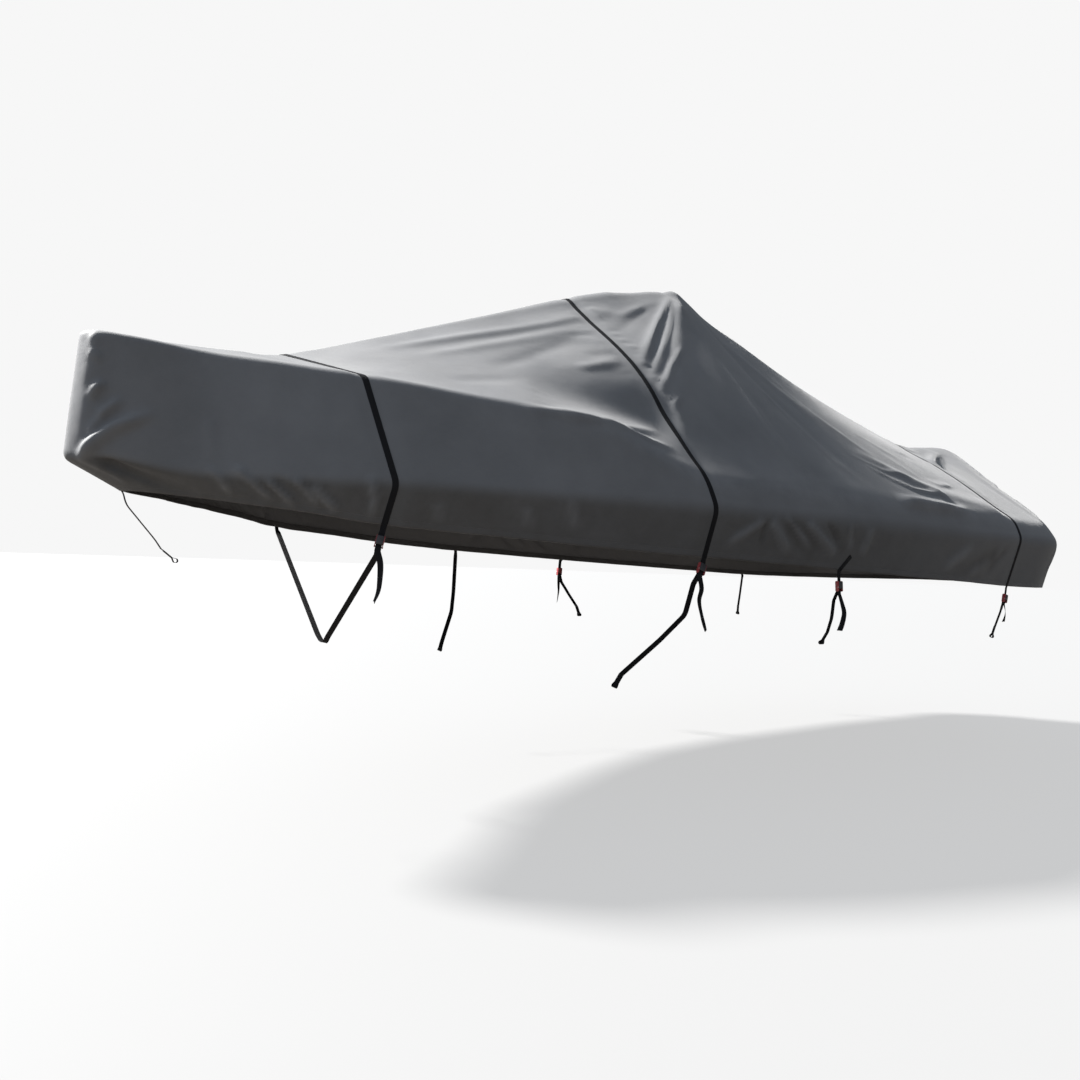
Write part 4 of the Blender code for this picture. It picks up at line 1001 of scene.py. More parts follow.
def make_quarter_strap(word, side, net, webbing):
    """One short strap sewn to the skirt, with its buckle and leg."""
    line, across = strap_line(net, "quarter", side)
    line = lifted(line, -side * across, webbing.thickness)
    buckle = Buckle("quarter", side, line[0], across[0])
    path = np.vstack([line[::-1], buckle.tail()])
    sides = squared(path, buckle.across)
    twist = free_twist(path, len(line) + THROUGH, "quarter", side)
    name, node = f"quarter_webbing_{word}", f"quarter_strap_{word}"
    make_webbing(name, node, path, sides, webbing, TAIL_CUTS["quarter"], twist)
    seams = make_leg(f"quarter_leg_webbing_{word}", f"quarter_leg_{word}", buckle, webbing)
    top, low = line[-1], line[1]
    along = unit(low - top)
    facing = unit(np.cross(across[0], along)) * side
    for place in QUARTER_SEAMS:
        middle = top + along * place + facing * webbing.thickness / 2
        seams.append(Seam(middle, unit(across[0]), along, facing, QUARTER_SEAM_HALF))
    return seams


def make_bow_strap(webbing):
    """The strap sewn inside the hem at the stem, running down to the winch stand."""
    stem = SECTIONS[0]
    hem = np.array(stem.hem)
    up = unit(np.array(stem.rub) - hem)
    inwards = np.array([up[2], 0.0, -up[0]])
    inside = inwards * BOW_STRAP_INSIDE
    starboard = np.array([0.0, 1.0, 0.0])
    sewn = [hem + up * SEWN_LAP + inside, hem - up * webbing.thickness * BOW_TURN + inside]
    path, seams = end_loop([*sewn, *map(np.array, BOW_STRAP)], starboard, webbing.thickness)
    make_webbing("bow_webbing", "bow_strap", path, squared(path, starboard), webbing)
    middle = hem + up * SEWN_LAP * BOW_SEAM + inside + inwards * webbing.thickness / 2
    return seams + [Seam(middle, starboard, -up, inwards, SEWN_LAP * BOW_SEAM_HALF)]


# ---- Stitches ----

STITCH_SIDES = 5
# Rings along one stitch: place along it, height and radius, as shares of its length and of the thread.
STITCH_RINGS = ((0.02, -0.5, 0.55), (0.25, 0.35, 1.0), (0.75, 0.35, 1.0), (0.98, -0.5, 0.55))
# Where a stitch starts and ends, as shares of the distance from one to the next.
SEAM_STITCH = (0.1, 0.9)
HEM_STITCH = (0.12, 0.88)


def make_stitches(name, starts, ends, facing, radius, material):
    """A row of separate stitches, each a short thread that dips into the cloth at both ends."""
    starts, ends, facing = (np.asarray(values, float) for values in (starts, ends, facing))
    run = ends - starts
    side = unit(np.cross(run, facing))
    lengths = norm(run, axis=1)
    turns = np.arange(STITCH_SIDES) * 2 * math.pi / STITCH_SIDES
    rings, uv = [], []
    for place, height, share in STITCH_RINGS:
        middle = starts + run * place + facing * height * radius
        for k, turn in enumerate(turns):
            rings.append(middle + radius * share * (side * math.cos(turn) + facing * math.sin(turn)))
            uv.append(np.column_stack([np.full(len(run), k / STITCH_SIDES), lengths * place]))
    points = np.stack(rings, axis=1)
    uv = np.stack(uv, axis=1).reshape(-1, 2)
    first = np.arange(len(starts))[:, None] * points.shape[1]
    here = np.arange((len(STITCH_RINGS) - 1) * STITCH_SIDES)
    there = here + 1 - STITCH_SIDES * (here % STITCH_SIDES == STITCH_SIDES - 1)
    quad = np.stack([there, there + STITCH_SIDES, here + STITCH_SIDES, here], axis=-1)
    quads = (first[:, :, None] + quad[None]).reshape(-1, 4)
    last = (len(STITCH_RINGS) - 1) * STITCH_SIDES
    ring = np.arange(STITCH_SIDES)
    caps = (first + ring[::-1]).tolist() + (first + last + ring).tolist()
    faces = quads.tolist() + caps
    corner_uv = uv[np.concatenate([quads.ravel(), np.ravel(caps)])]
    thread = make_mesh(name, in_frame(points.reshape(-1, 3)), faces, corner_uv, material)
    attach(thread, ROOT)
    return thread


def seam_stitches(seam, webbing):
    """Starts, ends and facings of the stitches of a sewn box with its cross."""
    wide, long = webbing.width / 2 - SEAM_MARGIN, seam.half_length
    corners = [(-wide, -long), (wide, -long), (wide, long), (-wide, long)]
    lines = [*zip(corners, corners[1:] + corners[:1]), *zip(corners[:2], corners[2:])]
    starts, ends = [], []
    for here, there in lines:
        here, there = (seam.middle + seam.across * x + seam.along * y for x, y in (here, there))
        count = max(2, round(norm(there - here) / webbing.stitch_pitch))
        for k in range(count):
            starts.append(here + (there - here) * (k + SEAM_STITCH[0]) / count)
            ends.append(here + (there - here) * (k + SEAM_STITCH[1]) / count)
    return starts, ends, [seam.out] * len(starts)


def make_seams(name, seams, webbing):
    """All the sewn boxes of some straps, as one piece."""
    parts = [seam_stitches(seam, webbing) for seam in seams]
    starts, ends, facing = (sum((list(part[k]) for part in parts), []) for k in range(3))
    thread = make_stitches(name, starts, ends, facing, webbing.thread_radius, thread_material(webbing))


def make_hem_stitching(net, cloth):
    """One row of stitches all round the hem's upper fold."""
    row = net.index[:, STITCHED_LINE]
    normals = net.normals()[row]
    line = np.vstack([net.points[row], net.points[row[:1]]])
    normals = np.vstack([normals, normals[:1]])
    lengths = lengths_along(line)
    count = round(lengths[-1] / cloth.stitch_pitch)
    ends = []
    for share in HEM_STITCH:
        at = (np.arange(count) + share) * lengths[-1] / count
        ends.append(np.column_stack([np.interp(at, lengths, line[:, axis]) for axis in range(3)]))
    middle = (np.arange(count) + 0.5) * lengths[-1] / count
    facing = unit(np.column_stack([np.interp(middle, lengths, normals[:, axis]) for axis in range(3)]))
    thread = make_stitches("hem_stitching", *ends, facing, cloth.thread_radius, hem_thread_material(cloth))


# ---- Buckles ----

# A buckle is measured from its middle: across the webbing, along it (down) and out from its face.
CHEEK_INNER = 0.0145
CHEEK_THICKNESS = 0.003
CHEEK_OUTER = CHEEK_INNER + CHEEK_THICKNESS
CHEEK_HALF_LENGTH = 0.026
CHEEK_BACK = -0.0100
CHEEK_FRONT = 0.0100
CHEEK_CORNER = 0.0058
CHEEK_EDGE = 0.0005
PLATE_BACK = -0.0032
PLATE_FRONT = -0.0012
PLATE_END = 0.012
PLATE_INSET = 0.0006
PLATE_EDGE = 0.0004
LIP_RADIUS = 0.0016
LIP_ALONG = -CHEEK_HALF_LENGTH + 0.0022
LIP_OUT = PLATE_BACK - 0.0004
LIP_HALF_LENGTH = CHEEK_INNER + 0.0005
BAR_RADIUS = 0.0025
BAR_ALONG = 0.0205
BAR_OUT = -0.0065
BAR_HALF_LENGTH = CHEEK_OUTER - 0.0002
BAR_HEAD = 0.0036
PIN_ALONG = 0.005
PIN_OUT = 0.0068
PIN_RADIUS = 0.0018
PIN_HALF_LENGTH = CHEEK_OUTER - 0.0001
PIN_HEAD = 0.0031
HEAD_DOME = 0.45
LEVER_HALF_WIDTH = CHEEK_INNER - 0.0007
LEVER_EDGE = 0.0011
# The lever's outline (along, out), from its tail down to the nose that presses the webbing, and back.
LEVER_PROFILE = (
    (-0.024, 0.0105), (-0.016, 0.0060), (-0.006, 0.0013), (0.003, 0.0013),
    (0.010, 0.0060), (0.013, 0.0100), (0.009, 0.0125), (-0.022, 0.0130),
)
# The thumb ribs on the lever's tail and the teeth on its nose: how many, the first one's place and the step
# to the next, then each one's half width, half length, lower and upper face, and eased edge.
Ridges = namedtuple("Ridges", "name count first step half_width half_length low high edge")
LEVER_RIDGES = (
    Ridges("rib", 7, -0.0205, 0.0026, 0.0108, 0.0006, 0.0120, 0.0137, 0.00035),
    Ridges("tooth", 4, -0.0048, 0.0023, 0.0128, 0.0005, 0.0008, 0.0024, 0.0002),
)
# How sharply faces turn, as one less the cosine, where a finish is fully worn.
WORN_TURN = 0.5


def deselect():
    bpy.ops.object.select_all(action="DESELECT")


def current(name):
    thing = bpy.context.view_layer.objects.active
    thing.name = thing.data.name = name
    return thing


def apply_bevel(thing, width, segments=2):
    """Eases a piece's sharp edges."""
    bevel = thing.modifiers.new("edges", "BEVEL")
    bevel.width, bevel.segments = width, segments
    bevel.limit_method, bevel.angle_limit = "ANGLE", math.radians(30)
    bpy.ops.object.modifier_apply(modifier=bevel.name)


def rounded_block(name, low, high, corner, edge):
    """A block between two corners, rounded where it turns about the across direction, with eased edges."""
    deselect()
    low, high = Vector(low), Vector(high)
    bpy.ops.mesh.primitive_cube_add(size=1, location=(low + high) / 2)
    block = current(name)
    block.scale = high - low
    bpy.ops.object.transform_apply(location=True, rotation=True, scale=True)
    if corner:
        bpy.ops.object.mode_set(mode="EDIT")
        bpy.ops.mesh.select_all(action="DESELECT")
        mesh = bmesh.from_edit_mesh(block.data)
        for line in mesh.edges:
            run = line.verts[1].co - line.verts[0].co
            line.select_set(abs(run.x) > 0.9 * run.length)
        bmesh.update_edit_mesh(block.data)
        bpy.ops.mesh.bevel(offset=corner, segments=5, affect="EDGES")
        bpy.ops.object.mode_set(mode="OBJECT")
    apply_bevel(block, edge)
    return block


def rod(name, along, out, radius, half_length, head=0.0):
    """A rod across the buckle, with a domed rivet head at each end where a head is asked for."""
    deselect()
    turned = (0.0, math.pi / 2, 0.0)
    bpy.ops.mesh.primitive_cylinder_add(
        vertices=28, radius=radius, depth=2 * half_length, location=(0.0, along, out), rotation=turned
    )
    shaft = current(name)
    pieces = [shaft]
    for way in (-1, 1) if head else ():
        bpy.ops.mesh.primitive_uv_sphere_add(
            segments=24, ring_count=12, radius=head, location=(way * half_length, along, out), rotation=turned
        )
        dome = current(name)
        dome.scale = (1.0, 1.0, HEAD_DOME)
        pieces.append(dome)
    return join(pieces, name)


def join(pieces, name):
    deselect()
    for piece in pieces:
        piece.select_set(True)
    bpy.context.view_layer.objects.active = pieces[0]
    bpy.ops.object.transform_apply(location=True, rotation=True, scale=True)
    if len(pieces) > 1:
        bpy.ops.object.join()
    return current(name)


def model_buckle_frame():
    """The pressed frame: two cheeks, a base plate with a rolled lip, and its riveted bar."""
    cheeks = []
    for across in (-CHEEK_OUTER, CHEEK_INNER):
        low = (across, -CHEEK_HALF_LENGTH, CHEEK_BACK)
        high = (across + CHEEK_THICKNESS, CHEEK_HALF_LENGTH, CHEEK_FRONT)
        cheeks.append(rounded_block("cheek", low, high, CHEEK_CORNER, CHEEK_EDGE))
    low = (-CHEEK_OUTER + PLATE_INSET, -CHEEK_HALF_LENGTH + PLATE_INSET, PLATE_BACK)
    high = (CHEEK_OUTER - PLATE_INSET, PLATE_END, PLATE_FRONT)
    plate = rounded_block("plate", low, high, 0.0, PLATE_EDGE)
    lip = rod("lip", LIP_ALONG, LIP_OUT, LIP_RADIUS, LIP_HALF_LENGTH)
    bar = rod("bar", BAR_ALONG, BAR_OUT, BAR_RADIUS, BAR_HALF_LENGTH, BAR_HEAD)
    return join([*cheeks, plate, lip, bar], "buckle_frame")


def model_pin():
    """The steel pin that the lever turns on."""
    return rod("buckle_pin", PIN_ALONG, PIN_OUT, PIN_RADIUS, PIN_HALF_LENGTH, PIN_HEAD)


def model_lever():
    """The cam lever: its toothed nose presses on the webbing, and its tail has ribs for a thumb."""
    deselect()
    bpy.ops.mesh.primitive_circle_add(vertices=len(LEVER_PROFILE), radius=0.01, fill_type="NGON")
    lever = current("buckle_lever")
    bpy.ops.object.mode_set(mode="EDIT")
    mesh = bmesh.from_edit_mesh(lever.data)
    for vertex, (along, out) in zip(mesh.verts, LEVER_PROFILE):
        vertex.co = (-LEVER_HALF_WIDTH, along, out)
    bmesh.update_edit_mesh(lever.data)
    bpy.ops.mesh.select_all(action="SELECT")
    width = 2 * LEVER_HALF_WIDTH
    bpy.ops.mesh.extrude_region_move(TRANSFORM_OT_translate={"value": (width, 0.0, 0.0)})
    bpy.ops.mesh.select_all(action="SELECT")
    bpy.ops.mesh.normals_make_consistent(inside=False)
    bpy.ops.object.mode_set(mode="OBJECT")
    apply_bevel(lever, LEVER_EDGE, 3)
    pieces = [lever]
    for ridges in LEVER_RIDGES:
        for k in range(ridges.count):
            along = ridges.first + k * ridges.step
            low = (-ridges.half_width, along - ridges.half_length, ridges.low)
            high = (ridges.half_width, along + ridges.half_length, ridges.high)
            pieces.append(rounded_block(ridges.name, low, high, 0.0, ridges.edge))
    return join(pieces, "buckle_lever")


def mark_edges(mesh):
    """A point mask that is strong where faces turn sharply, where a finish wears first."""
    shape = bmesh.new()
    shape.from_mesh(mesh)
    turned = []
    for vertex in shape.verts:
        facing = [face.normal for face in vertex.link_faces]
        turned.append(1 - min((a.dot(b) for a in facing for b in facing), default=1.0))
    shape.free()
    point_mask(mesh, "worn", np.clip(np.array(turned) / WORN_TURN, 0, 1))


def place_copies(source, suffix, buckles, material, replaced):
    """One copy of a modelled piece at each buckle, each with its own mesh."""
    source.data.materials.clear()
    source.data.materials.append(material)
    source.data.shade_smooth()
    source.data.set_sharp_from_angle(angle=math.radians(40))
    mark_edges(source.data)
    for name, buckle in buckles.items():
        mesh = source.data.copy()
        mesh.transform(buckle.matrix())
        piece = add_object(f"{name}_{suffix}", mesh)
        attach(piece, ROOT)
        if replaced:
            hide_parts(f"{name}_{replaced}")
    bpy.data.objects.remove(source, do_unlink=True)


def buckle_places(net, thickness):
    """Where each buckle sits."""
    places = {}
    for name in GIRTH_STRAPS:
        line, across = over_cloth(net, name, thickness)
        places[name] = Buckle(name, -1, line[0], across[0])
    for word, side in SIDES.items():
        line, across = strap_line(net, "quarter", side)
        line = lifted(line, -side * across, thickness)
        places[f"quarter_{word}"] = Buckle("quarter", side, line[0], across[0])
    return places


# ---- Materials ----

# Webbing: how wide each slanting band of its herringbone is, how steep its ribs are, and its cords' pitch.
HERRINGBONE_WIDTH = 0.0045
RIB_SLANT = 0.7
CORD_PITCH = 0.0013
# Along and up the cloth, how closely its thick threads, its ripples and its finest ripples follow.
SLUB_SCALE = (30.0, 700.0, 1.0)
RIPPLE_SCALE = (6.0, 9.0, 1.0)
FINE_SCALE = (24.0, 30.0, 1.0)
# How strongly each finish shows, from 0 to 1, and how much of the skirt's painted shade and the hem's grime
# is even, without streaks.
SLUB_SHOWS = 0.16
RUBBING_SHOWS = 0.2
# The cloth's dust on what faces up also paints light on its top.
DUST_AND_PAINTED_LIGHT_SHOWS = 0.45
EVEN_SHADE_AND_GRIME = 0.7
WEBBING_DUST_SHOWS = 0.015
# The length in which sewing thread twists once.
TWIST_LENGTH = 0.0012
ZINC_COLOUR = (0.55, 0.54, 0.51)
DULLED_COLOUR = (0.30, 0.28, 0.25)


class Nodes:
    """A short way to add nodes to one node tree."""

    def __init__(self, tree):
        self.tree = tree

    def put(self, socket, value):
        """Links an input to another node's output, or gives it its own value."""
        if isinstance(value, bpy.types.NodeSocket):
            self.tree.links.new(value, socket)
        else:
            socket.default_value = value

    def add(self, kind, inputs=None, **settings):
        node = self.tree.nodes.new(kind)
        for name, value in settings.items():
            setattr(node, name, value)
        for name, value in (inputs or {}).items():
            self.put(node.inputs[name], value)
        return node

    def group(self, group, inputs):
        return self.add("ShaderNodeGroup", inputs, node_tree=group).outputs

    def maths(self, operation, first, second=0.5, third=0.5):
        return self.add("ShaderNodeMath", {0: first, 1: second, 2: third}, operation=operation).outputs[0]

    def times(self, first, second):
        return self.maths("MULTIPLY", first, second)

    def split(self, vector):
        return self.add("ShaderNodeSeparateXYZ", {0: vector}).outputs

    def mix(self, share, first, second):
        """Mixes two colours."""
        return self.add("ShaderNodeMix", {0: share, 6: first, 7: second}, data_type="RGBA").outputs[2]

    def ramp(self, value, low, high):
        """Maps low..high to 0..1, clipped."""
        return self.add("ShaderNodeMapRange", {"Value": value, "From Min": low, "From Max": high}).outputs[0]

    def noise(self, vector, scale, detail=3.0, roughness=0.55):
        inputs = {"Vector": vector, "Scale": scale, "Detail": detail, "Roughness": roughness}
        return self.add("ShaderNodeTexNoise", inputs).outputs["Fac"]

    def bump(self, height, strength, distance, **more):
        """Raises the surface by a height in metres. Normal is what an earlier bump gave."""
        inputs = {"Height": height, "Strength": strength, "Distance": distance, **more}
        return self.add("ShaderNodeBump", inputs).outputs[0]

    def uv(self, scale=None):
        """Places along the cloth in metres, or stretched by a scale."""
        places = self.add("ShaderNodeUVMap", uv_map=UV_MAP).outputs[0]
        if scale is None:
            return places
        return self.add("ShaderNodeMapping", {"Vector": places, "Scale": scale}).outputs[0]

    def place(self):
        return self.add("ShaderNodeTexCoord").outputs["Object"]

    def geometry(self, name):
        return self.add("ShaderNodeNewGeometry").outputs[name]

    def mask(self, name):
        return self.add("ShaderNodeAttribute", attribute_name=name).outputs["Fac"]


def new_group(name, vectors, values, outputs):
    """An empty shader node group: vector inputs, value inputs with their defaults, and value outputs."""
    group = bpy.data.node_groups.new(name, "ShaderNodeTree")
    for label in vectors:
        group.interface.new_socket(label, in_out="INPUT", socket_type="NodeSocketVector")
    for label, default in values.items():
        socket = group.interface.new_socket(label, in_out="INPUT", socket_type="NodeSocketFloat")
        socket.default_value = default
    for label in outputs:
        group.interface.new_socket(label, in_out="OUTPUT", socket_type="NodeSocketFloat")
    nodes = Nodes(group)
    return group, nodes, nodes.add("NodeGroupInput").outputs, nodes.add("NodeGroupOutput").inputs


@cache
def plain_weave_group():
    """Over-and-under threads on a UV map in metres, as a height from 0 to 1."""
    group, nodes, source, sink = new_group("Plain Weave", ["UV"], {"Pitch": 0.0016}, ["Height"])
    places = nodes.split(source["UV"])
    warp = nodes.maths("DIVIDE", places[0], source["Pitch"])
    weft = nodes.maths("DIVIDE", places[1], source["Pitch"])
    heights = []
    for here, other in ((warp, weft), (weft, warp)):
        thread = nodes.maths("ABSOLUTE", nodes.maths("SINE", nodes.times(here, math.pi)))
        turn = nodes.times(nodes.maths("FLOOR", here), math.pi)
        swing = nodes.maths("SINE", nodes.maths("MULTIPLY_ADD", other, math.pi, turn))
        over = nodes.maths("MULTIPLY_ADD", swing, 0.35, 0.65)
        heights.append(nodes.times(thread, over))
    nodes.put(sink["Height"], nodes.maths("MAXIMUM", *heights))
    return group


@cache
def webbing_weave_group():
    """Flat woven tape: slanting ribs across its width, in mirrored halves, over fine cords along it."""
    group, nodes, source, sink = new_group("Webbing Weave", ["UV"], {"Pitch": 0.0022}, ["Height"])
    places = nodes.split(source["UV"])
    across = nodes.maths("PINGPONG", places[0], HERRINGBONE_WIDTH)
    slant = nodes.maths("ADD", places[1], nodes.times(across, RIB_SLANT))
    turns = nodes.maths("DIVIDE", nodes.times(slant, 2 * math.pi), source["Pitch"])
    ribs = nodes.maths("SINE", turns)
    cords = nodes.maths("SINE", nodes.times(places[0], 2 * math.pi / CORD_PITCH))
    height = nodes.maths("MULTIPLY_ADD", ribs, 0.5, nodes.times(cords, 0.25))
    nodes.put(sink["Height"], height)
    return group


@cache
def weather_group():
    """Dust that settles on what faces up, and streaks that break up painted shade and grime: two masks."""
    group, nodes, source, sink = new_group("Weather", ["Position", "Normal"], {}, ["Dust", "Streaks"])
    up = nodes.split(source["Normal"])[2]
    patches = nodes.noise(source["Position"], 2.6, 5.0, 0.6)
    streaks = nodes.noise(source["Position"], 9.0, 4.0, 0.65)
    settled = nodes.times(nodes.ramp(up, 0.2, 1.0), nodes.ramp(patches, 0.15, 0.85))
    nodes.put(sink["Dust"], settled)
    nodes.put(sink["Streaks"], nodes.ramp(streaks, 0.3, 0.75))
    return group


def new_material(name):
    material = bpy.data.materials.new(name)
    material.use_nodes = True
    nodes = Nodes(material.node_tree)
    return material, nodes, material.node_tree.nodes["Principled BSDF"]


def set_shader(nodes, shader, **values):
    """Sets or links the shader's sockets, whose names have _ for each space."""
    for name, value in values.items():
        nodes.put(shader.inputs[name.replace("_", " ")], value)


def solid(colour):
    return (*colour, 1.0)


def scaled(colour, share):
    return tuple(share * channel for channel in colour)


@cache
def cloth_material(cloth):
    """Coated woven polyester: grey, faintly mottled, rubbed paler along the rail, dusty and painted light on
    top.
    """
    material, nodes, shader = new_material("cover_cloth")
    place = nodes.place()
    weave = nodes.group(plain_weave_group(), {"UV": nodes.uv(), "Pitch": cloth.weave_pitch})
    weather = nodes.group(weather_group(), {"Position": place, "Normal": nodes.geometry("Normal")})
    mottle = nodes.noise(place, 3.5, 6.0, 0.6)
    deep, light = scaled(cloth.colour, 0.86), scaled(cloth.colour, 1.12)
    colour = nodes.mix(nodes.ramp(mottle, 0.3, 0.7), solid(deep), solid(light))
    slub = nodes.noise(nodes.uv(SLUB_SCALE), 1.0, 2.0)
    threads = nodes.times(nodes.ramp(slub, 0.35, 0.65), SLUB_SHOWS)
    colour = nodes.mix(threads, colour, solid(scaled(cloth.colour, 1.3)))
    scuffs = nodes.times(nodes.ramp(nodes.noise(place, 14.0), 0.35, 0.8), RUBBING_SHOWS)
    rubbed = nodes.times(nodes.mask("worn"), scuffs)
    colour = nodes.mix(rubbed, colour, solid(cloth.worn_colour))
    # Dust on what faces up, which also paints light on the cloth's top.
    dust = nodes.times(weather["Dust"], DUST_AND_PAINTED_LIGHT_SHOWS)
    colour = nodes.mix(dust, colour, solid(cloth.dust_colour))
    # Painted shade on the skirt, most at the bow and in troughs, broken by streaks; grime inside the hem.
    streaked = nodes.maths("MULTIPLY_ADD", weather["Streaks"], 1 - EVEN_SHADE_AND_GRIME, EVEN_SHADE_AND_GRIME)
    shade_and_grime = nodes.times(nodes.mask("shade_and_grime"), streaked)
    colour = nodes.mix(shade_and_grime, colour, solid(cloth.shade_and_grime_colour))
    colour = nodes.mix(nodes.geometry("Backfacing"), colour, solid(cloth.lining_colour))
    threads_up = nodes.bump(weave["Height"], 0.35, 0.0004)
    fine = nodes.noise(nodes.uv(FINE_SCALE), 1.0, 3.0)
    ripple = nodes.noise(nodes.uv(RIPPLE_SCALE), 1.0, 4.0, 0.5)
    ripples = nodes.maths("MULTIPLY_ADD", ripple, 1.0, nodes.times(fine, 0.25))
    normal = nodes.bump(ripples, 0.22, 0.006, Normal=threads_up)
    rough = nodes.maths("MULTIPLY_ADD", mottle, 0.15, 0.62)
    set_shader(nodes, shader, Base_Color=colour, Roughness=rough, Normal=normal)
    set_shader(nodes, shader, Specular_IOR_Level=0.4, Sheen_Weight=0.10, Sheen_Roughness=0.4)
    return material


@cache
def webbing_material(webbing):
    """Black polyester webbing with a woven face, a little dusty."""
    material, nodes, shader = new_material("webbing")
    place = nodes.place()
    weave = nodes.group(webbing_weave_group(), {"UV": nodes.uv()})
    weather = nodes.group(weather_group(), {"Position": place, "Normal": nodes.geometry("Normal")})
    # The ribs' crests are painted lighter and the grooves between them darker: painted highlight and shade.
    ribs = nodes.ramp(weave["Height"], -0.6, 0.7)
    colour = nodes.mix(ribs, solid(scaled(webbing.colour, 0.4)), solid(scaled(webbing.colour, 1.8)))
    dust = nodes.times(weather["Dust"], WEBBING_DUST_SHOWS)
    colour = nodes.mix(dust, colour, solid(webbing.dust_colour))
    rough = nodes.maths("MULTIPLY_ADD", nodes.noise(place, 60.0), 0.2, 0.55)
    normal = nodes.bump(weave["Height"], 0.6, 0.0004)
    set_shader(nodes, shader, Base_Color=colour, Roughness=rough, Normal=normal, Specular_IOR_Level=0.06)
    return material


def twisted_thread(name, colour):
    """Sewing thread: lit and shaded by its twist, which slants round it."""
    material, nodes, shader = new_material(name)
    places = nodes.split(nodes.uv())
    turn = nodes.maths("ADD", places[0], nodes.maths("DIVIDE", places[1], TWIST_LENGTH))
    strands = nodes.maths("SINE", nodes.times(turn, 4 * math.pi))
    mixed = nodes.mix(nodes.ramp(strands, -1, 1), solid(scaled(colour, 0.7)), solid(scaled(colour, 1.25)))
    set_shader(nodes, shader, Base_Color=mixed, Roughness=0.5, Normal=nodes.bump(strands, 0.5, 0.0002))
    return material


@cache
def thread_material(webbing):
    return twisted_thread("webbing_thread", tuple(webbing.thread_colour))


@cache
def hem_thread_material(cloth):
    return twisted_thread("hem_thread", tuple(cloth.thread_colour))


@cache
def coated_metal(buckle):
    """Dull coated steel, chipped to dark metal along its edges and scuffed on its faces."""
    material, nodes, shader = new_material("buckle_frame")
    place = nodes.place()
    chips = nodes.noise(place, 420.0, 4.0, 0.7)
    scuffs = nodes.noise(place, 90.0, 5.0, 0.65)
    chipped = nodes.ramp(nodes.maths("MULTIPLY_ADD", nodes.mask("worn"), 0.22, chips), 0.60, 0.68)
    deep, light = scaled(buckle.frame_colour, 0.75), scaled(buckle.frame_colour, 1.3)
    coat = nodes.mix(nodes.ramp(scuffs, 0.35, 0.7), solid(deep), solid(light))
    colour = nodes.mix(chipped, coat, solid(buckle.chipped_colour))
    rough = nodes.maths("MULTIPLY_ADD", scuffs, 0.25, 0.30)
    normal = nodes.bump(chipped, 0.4, -0.0002)
    set_shader(nodes, shader, Base_Color=colour, Roughness=rough, Metallic=chipped, Normal=normal)
    return material


@cache
def moulded_plastic(buckle):
    """Dark moulded plastic with a fine grain, polished where thumbs press it."""
    material, nodes, shader = new_material("buckle_lever")
    place = nodes.place()
    grain = nodes.noise(place, 1600.0, 2.0, 0.6)
    patches = nodes.noise(place, 120.0, 4.0, 0.6)
    polished = nodes.times(nodes.mask("worn"), nodes.ramp(patches, 0.35, 0.7))
    colour = nodes.mix(polished, solid(buckle.lever_colour), solid(scaled(buckle.lever_colour, 3.2)))
    rough = nodes.maths("MULTIPLY_ADD", patches, 0.3, 0.28)
    set_shader(nodes, shader, Base_Color=colour, Roughness=rough, Normal=nodes.bump(grain, 0.25, 0.0001))
    return material


@cache
def plated_steel():
    """Zinc-plated steel, dulled in patches."""
    material, nodes, shader = new_material("buckle_pin")
    patches = nodes.noise(nodes.place(), 260.0, 4.0, 0.65)
    colour = nodes.mix(nodes.ramp(patches, 0.35, 0.7), solid(ZINC_COLOUR), solid(DULLED_COLOUR))
    rough = nodes.maths("MULTIPLY_ADD", patches, 0.35, 0.25)
    set_shader(nodes, shader, Base_Color=colour, Roughness=rough, Metallic=1.0)
    return material


# ---- Stage ----

# The ground that the trailer stands on, the way to each light, and where the camera stands and how it is
# turned, in degrees.
GROUND = -2.729
FLOOR_RADIUS = 90.0
KEY_FROM = (-0.45, 0.60, 0.66)
KEY_COLOUR = (1.0, 0.985, 0.96)
GLOW_FROM = (-0.88, 0.10, 0.46)
EYE = (-3.685, -3.897, -1.610)
EYE_TURN = (91.209, -2.016, -35.703)
SENSOR_WIDTH = 36.0
# The soft light's colour and strength: even all round, and how much the glow over the bow adds.
SKY_COLOUR = (0.78, 0.90, 1.06)
SKY_EVEN = 0.40
SKY_GLOW = 1.7
WHITE = (1.0, 1.0, 1.0)


class StageSettings(bpy.types.PropertyGroup):
    """The floor, lights and camera."""

    lens: FloatProperty(name="Lens", description="Focal length of the camera", default=30.0, unit="CAMERA")
    floor_colour: FloatVectorProperty(
        name="Floor colour", description="Colour of the floor", subtype="COLOR", default=(0.066, 0.066, 0.066)
    )
    floor_glow: FloatProperty(
        name="Floor glow", description="How far the floor's shadow is lit", default=0.55
    )
    bounce_colour: FloatVectorProperty(
        name="Bounce colour", description="Colour of the light off the floor",
        subtype="COLOR", default=(0.125, 0.112, 0.097),
    )
    key_strength: FloatProperty(name="Key light", description="Strength of the key light", default=17.5)
    key_softness: FloatProperty(
        name="Key softness", description="Angle that the key light fills",
        default=math.radians(7), unit="ROTATION",
    )
    sky: FloatProperty(name="Sky", description="Strength of the soft light all round", default=0.52)
    backdrop: FloatProperty(name="Backdrop", description="Brightness of the pale backdrop", default=0.93)


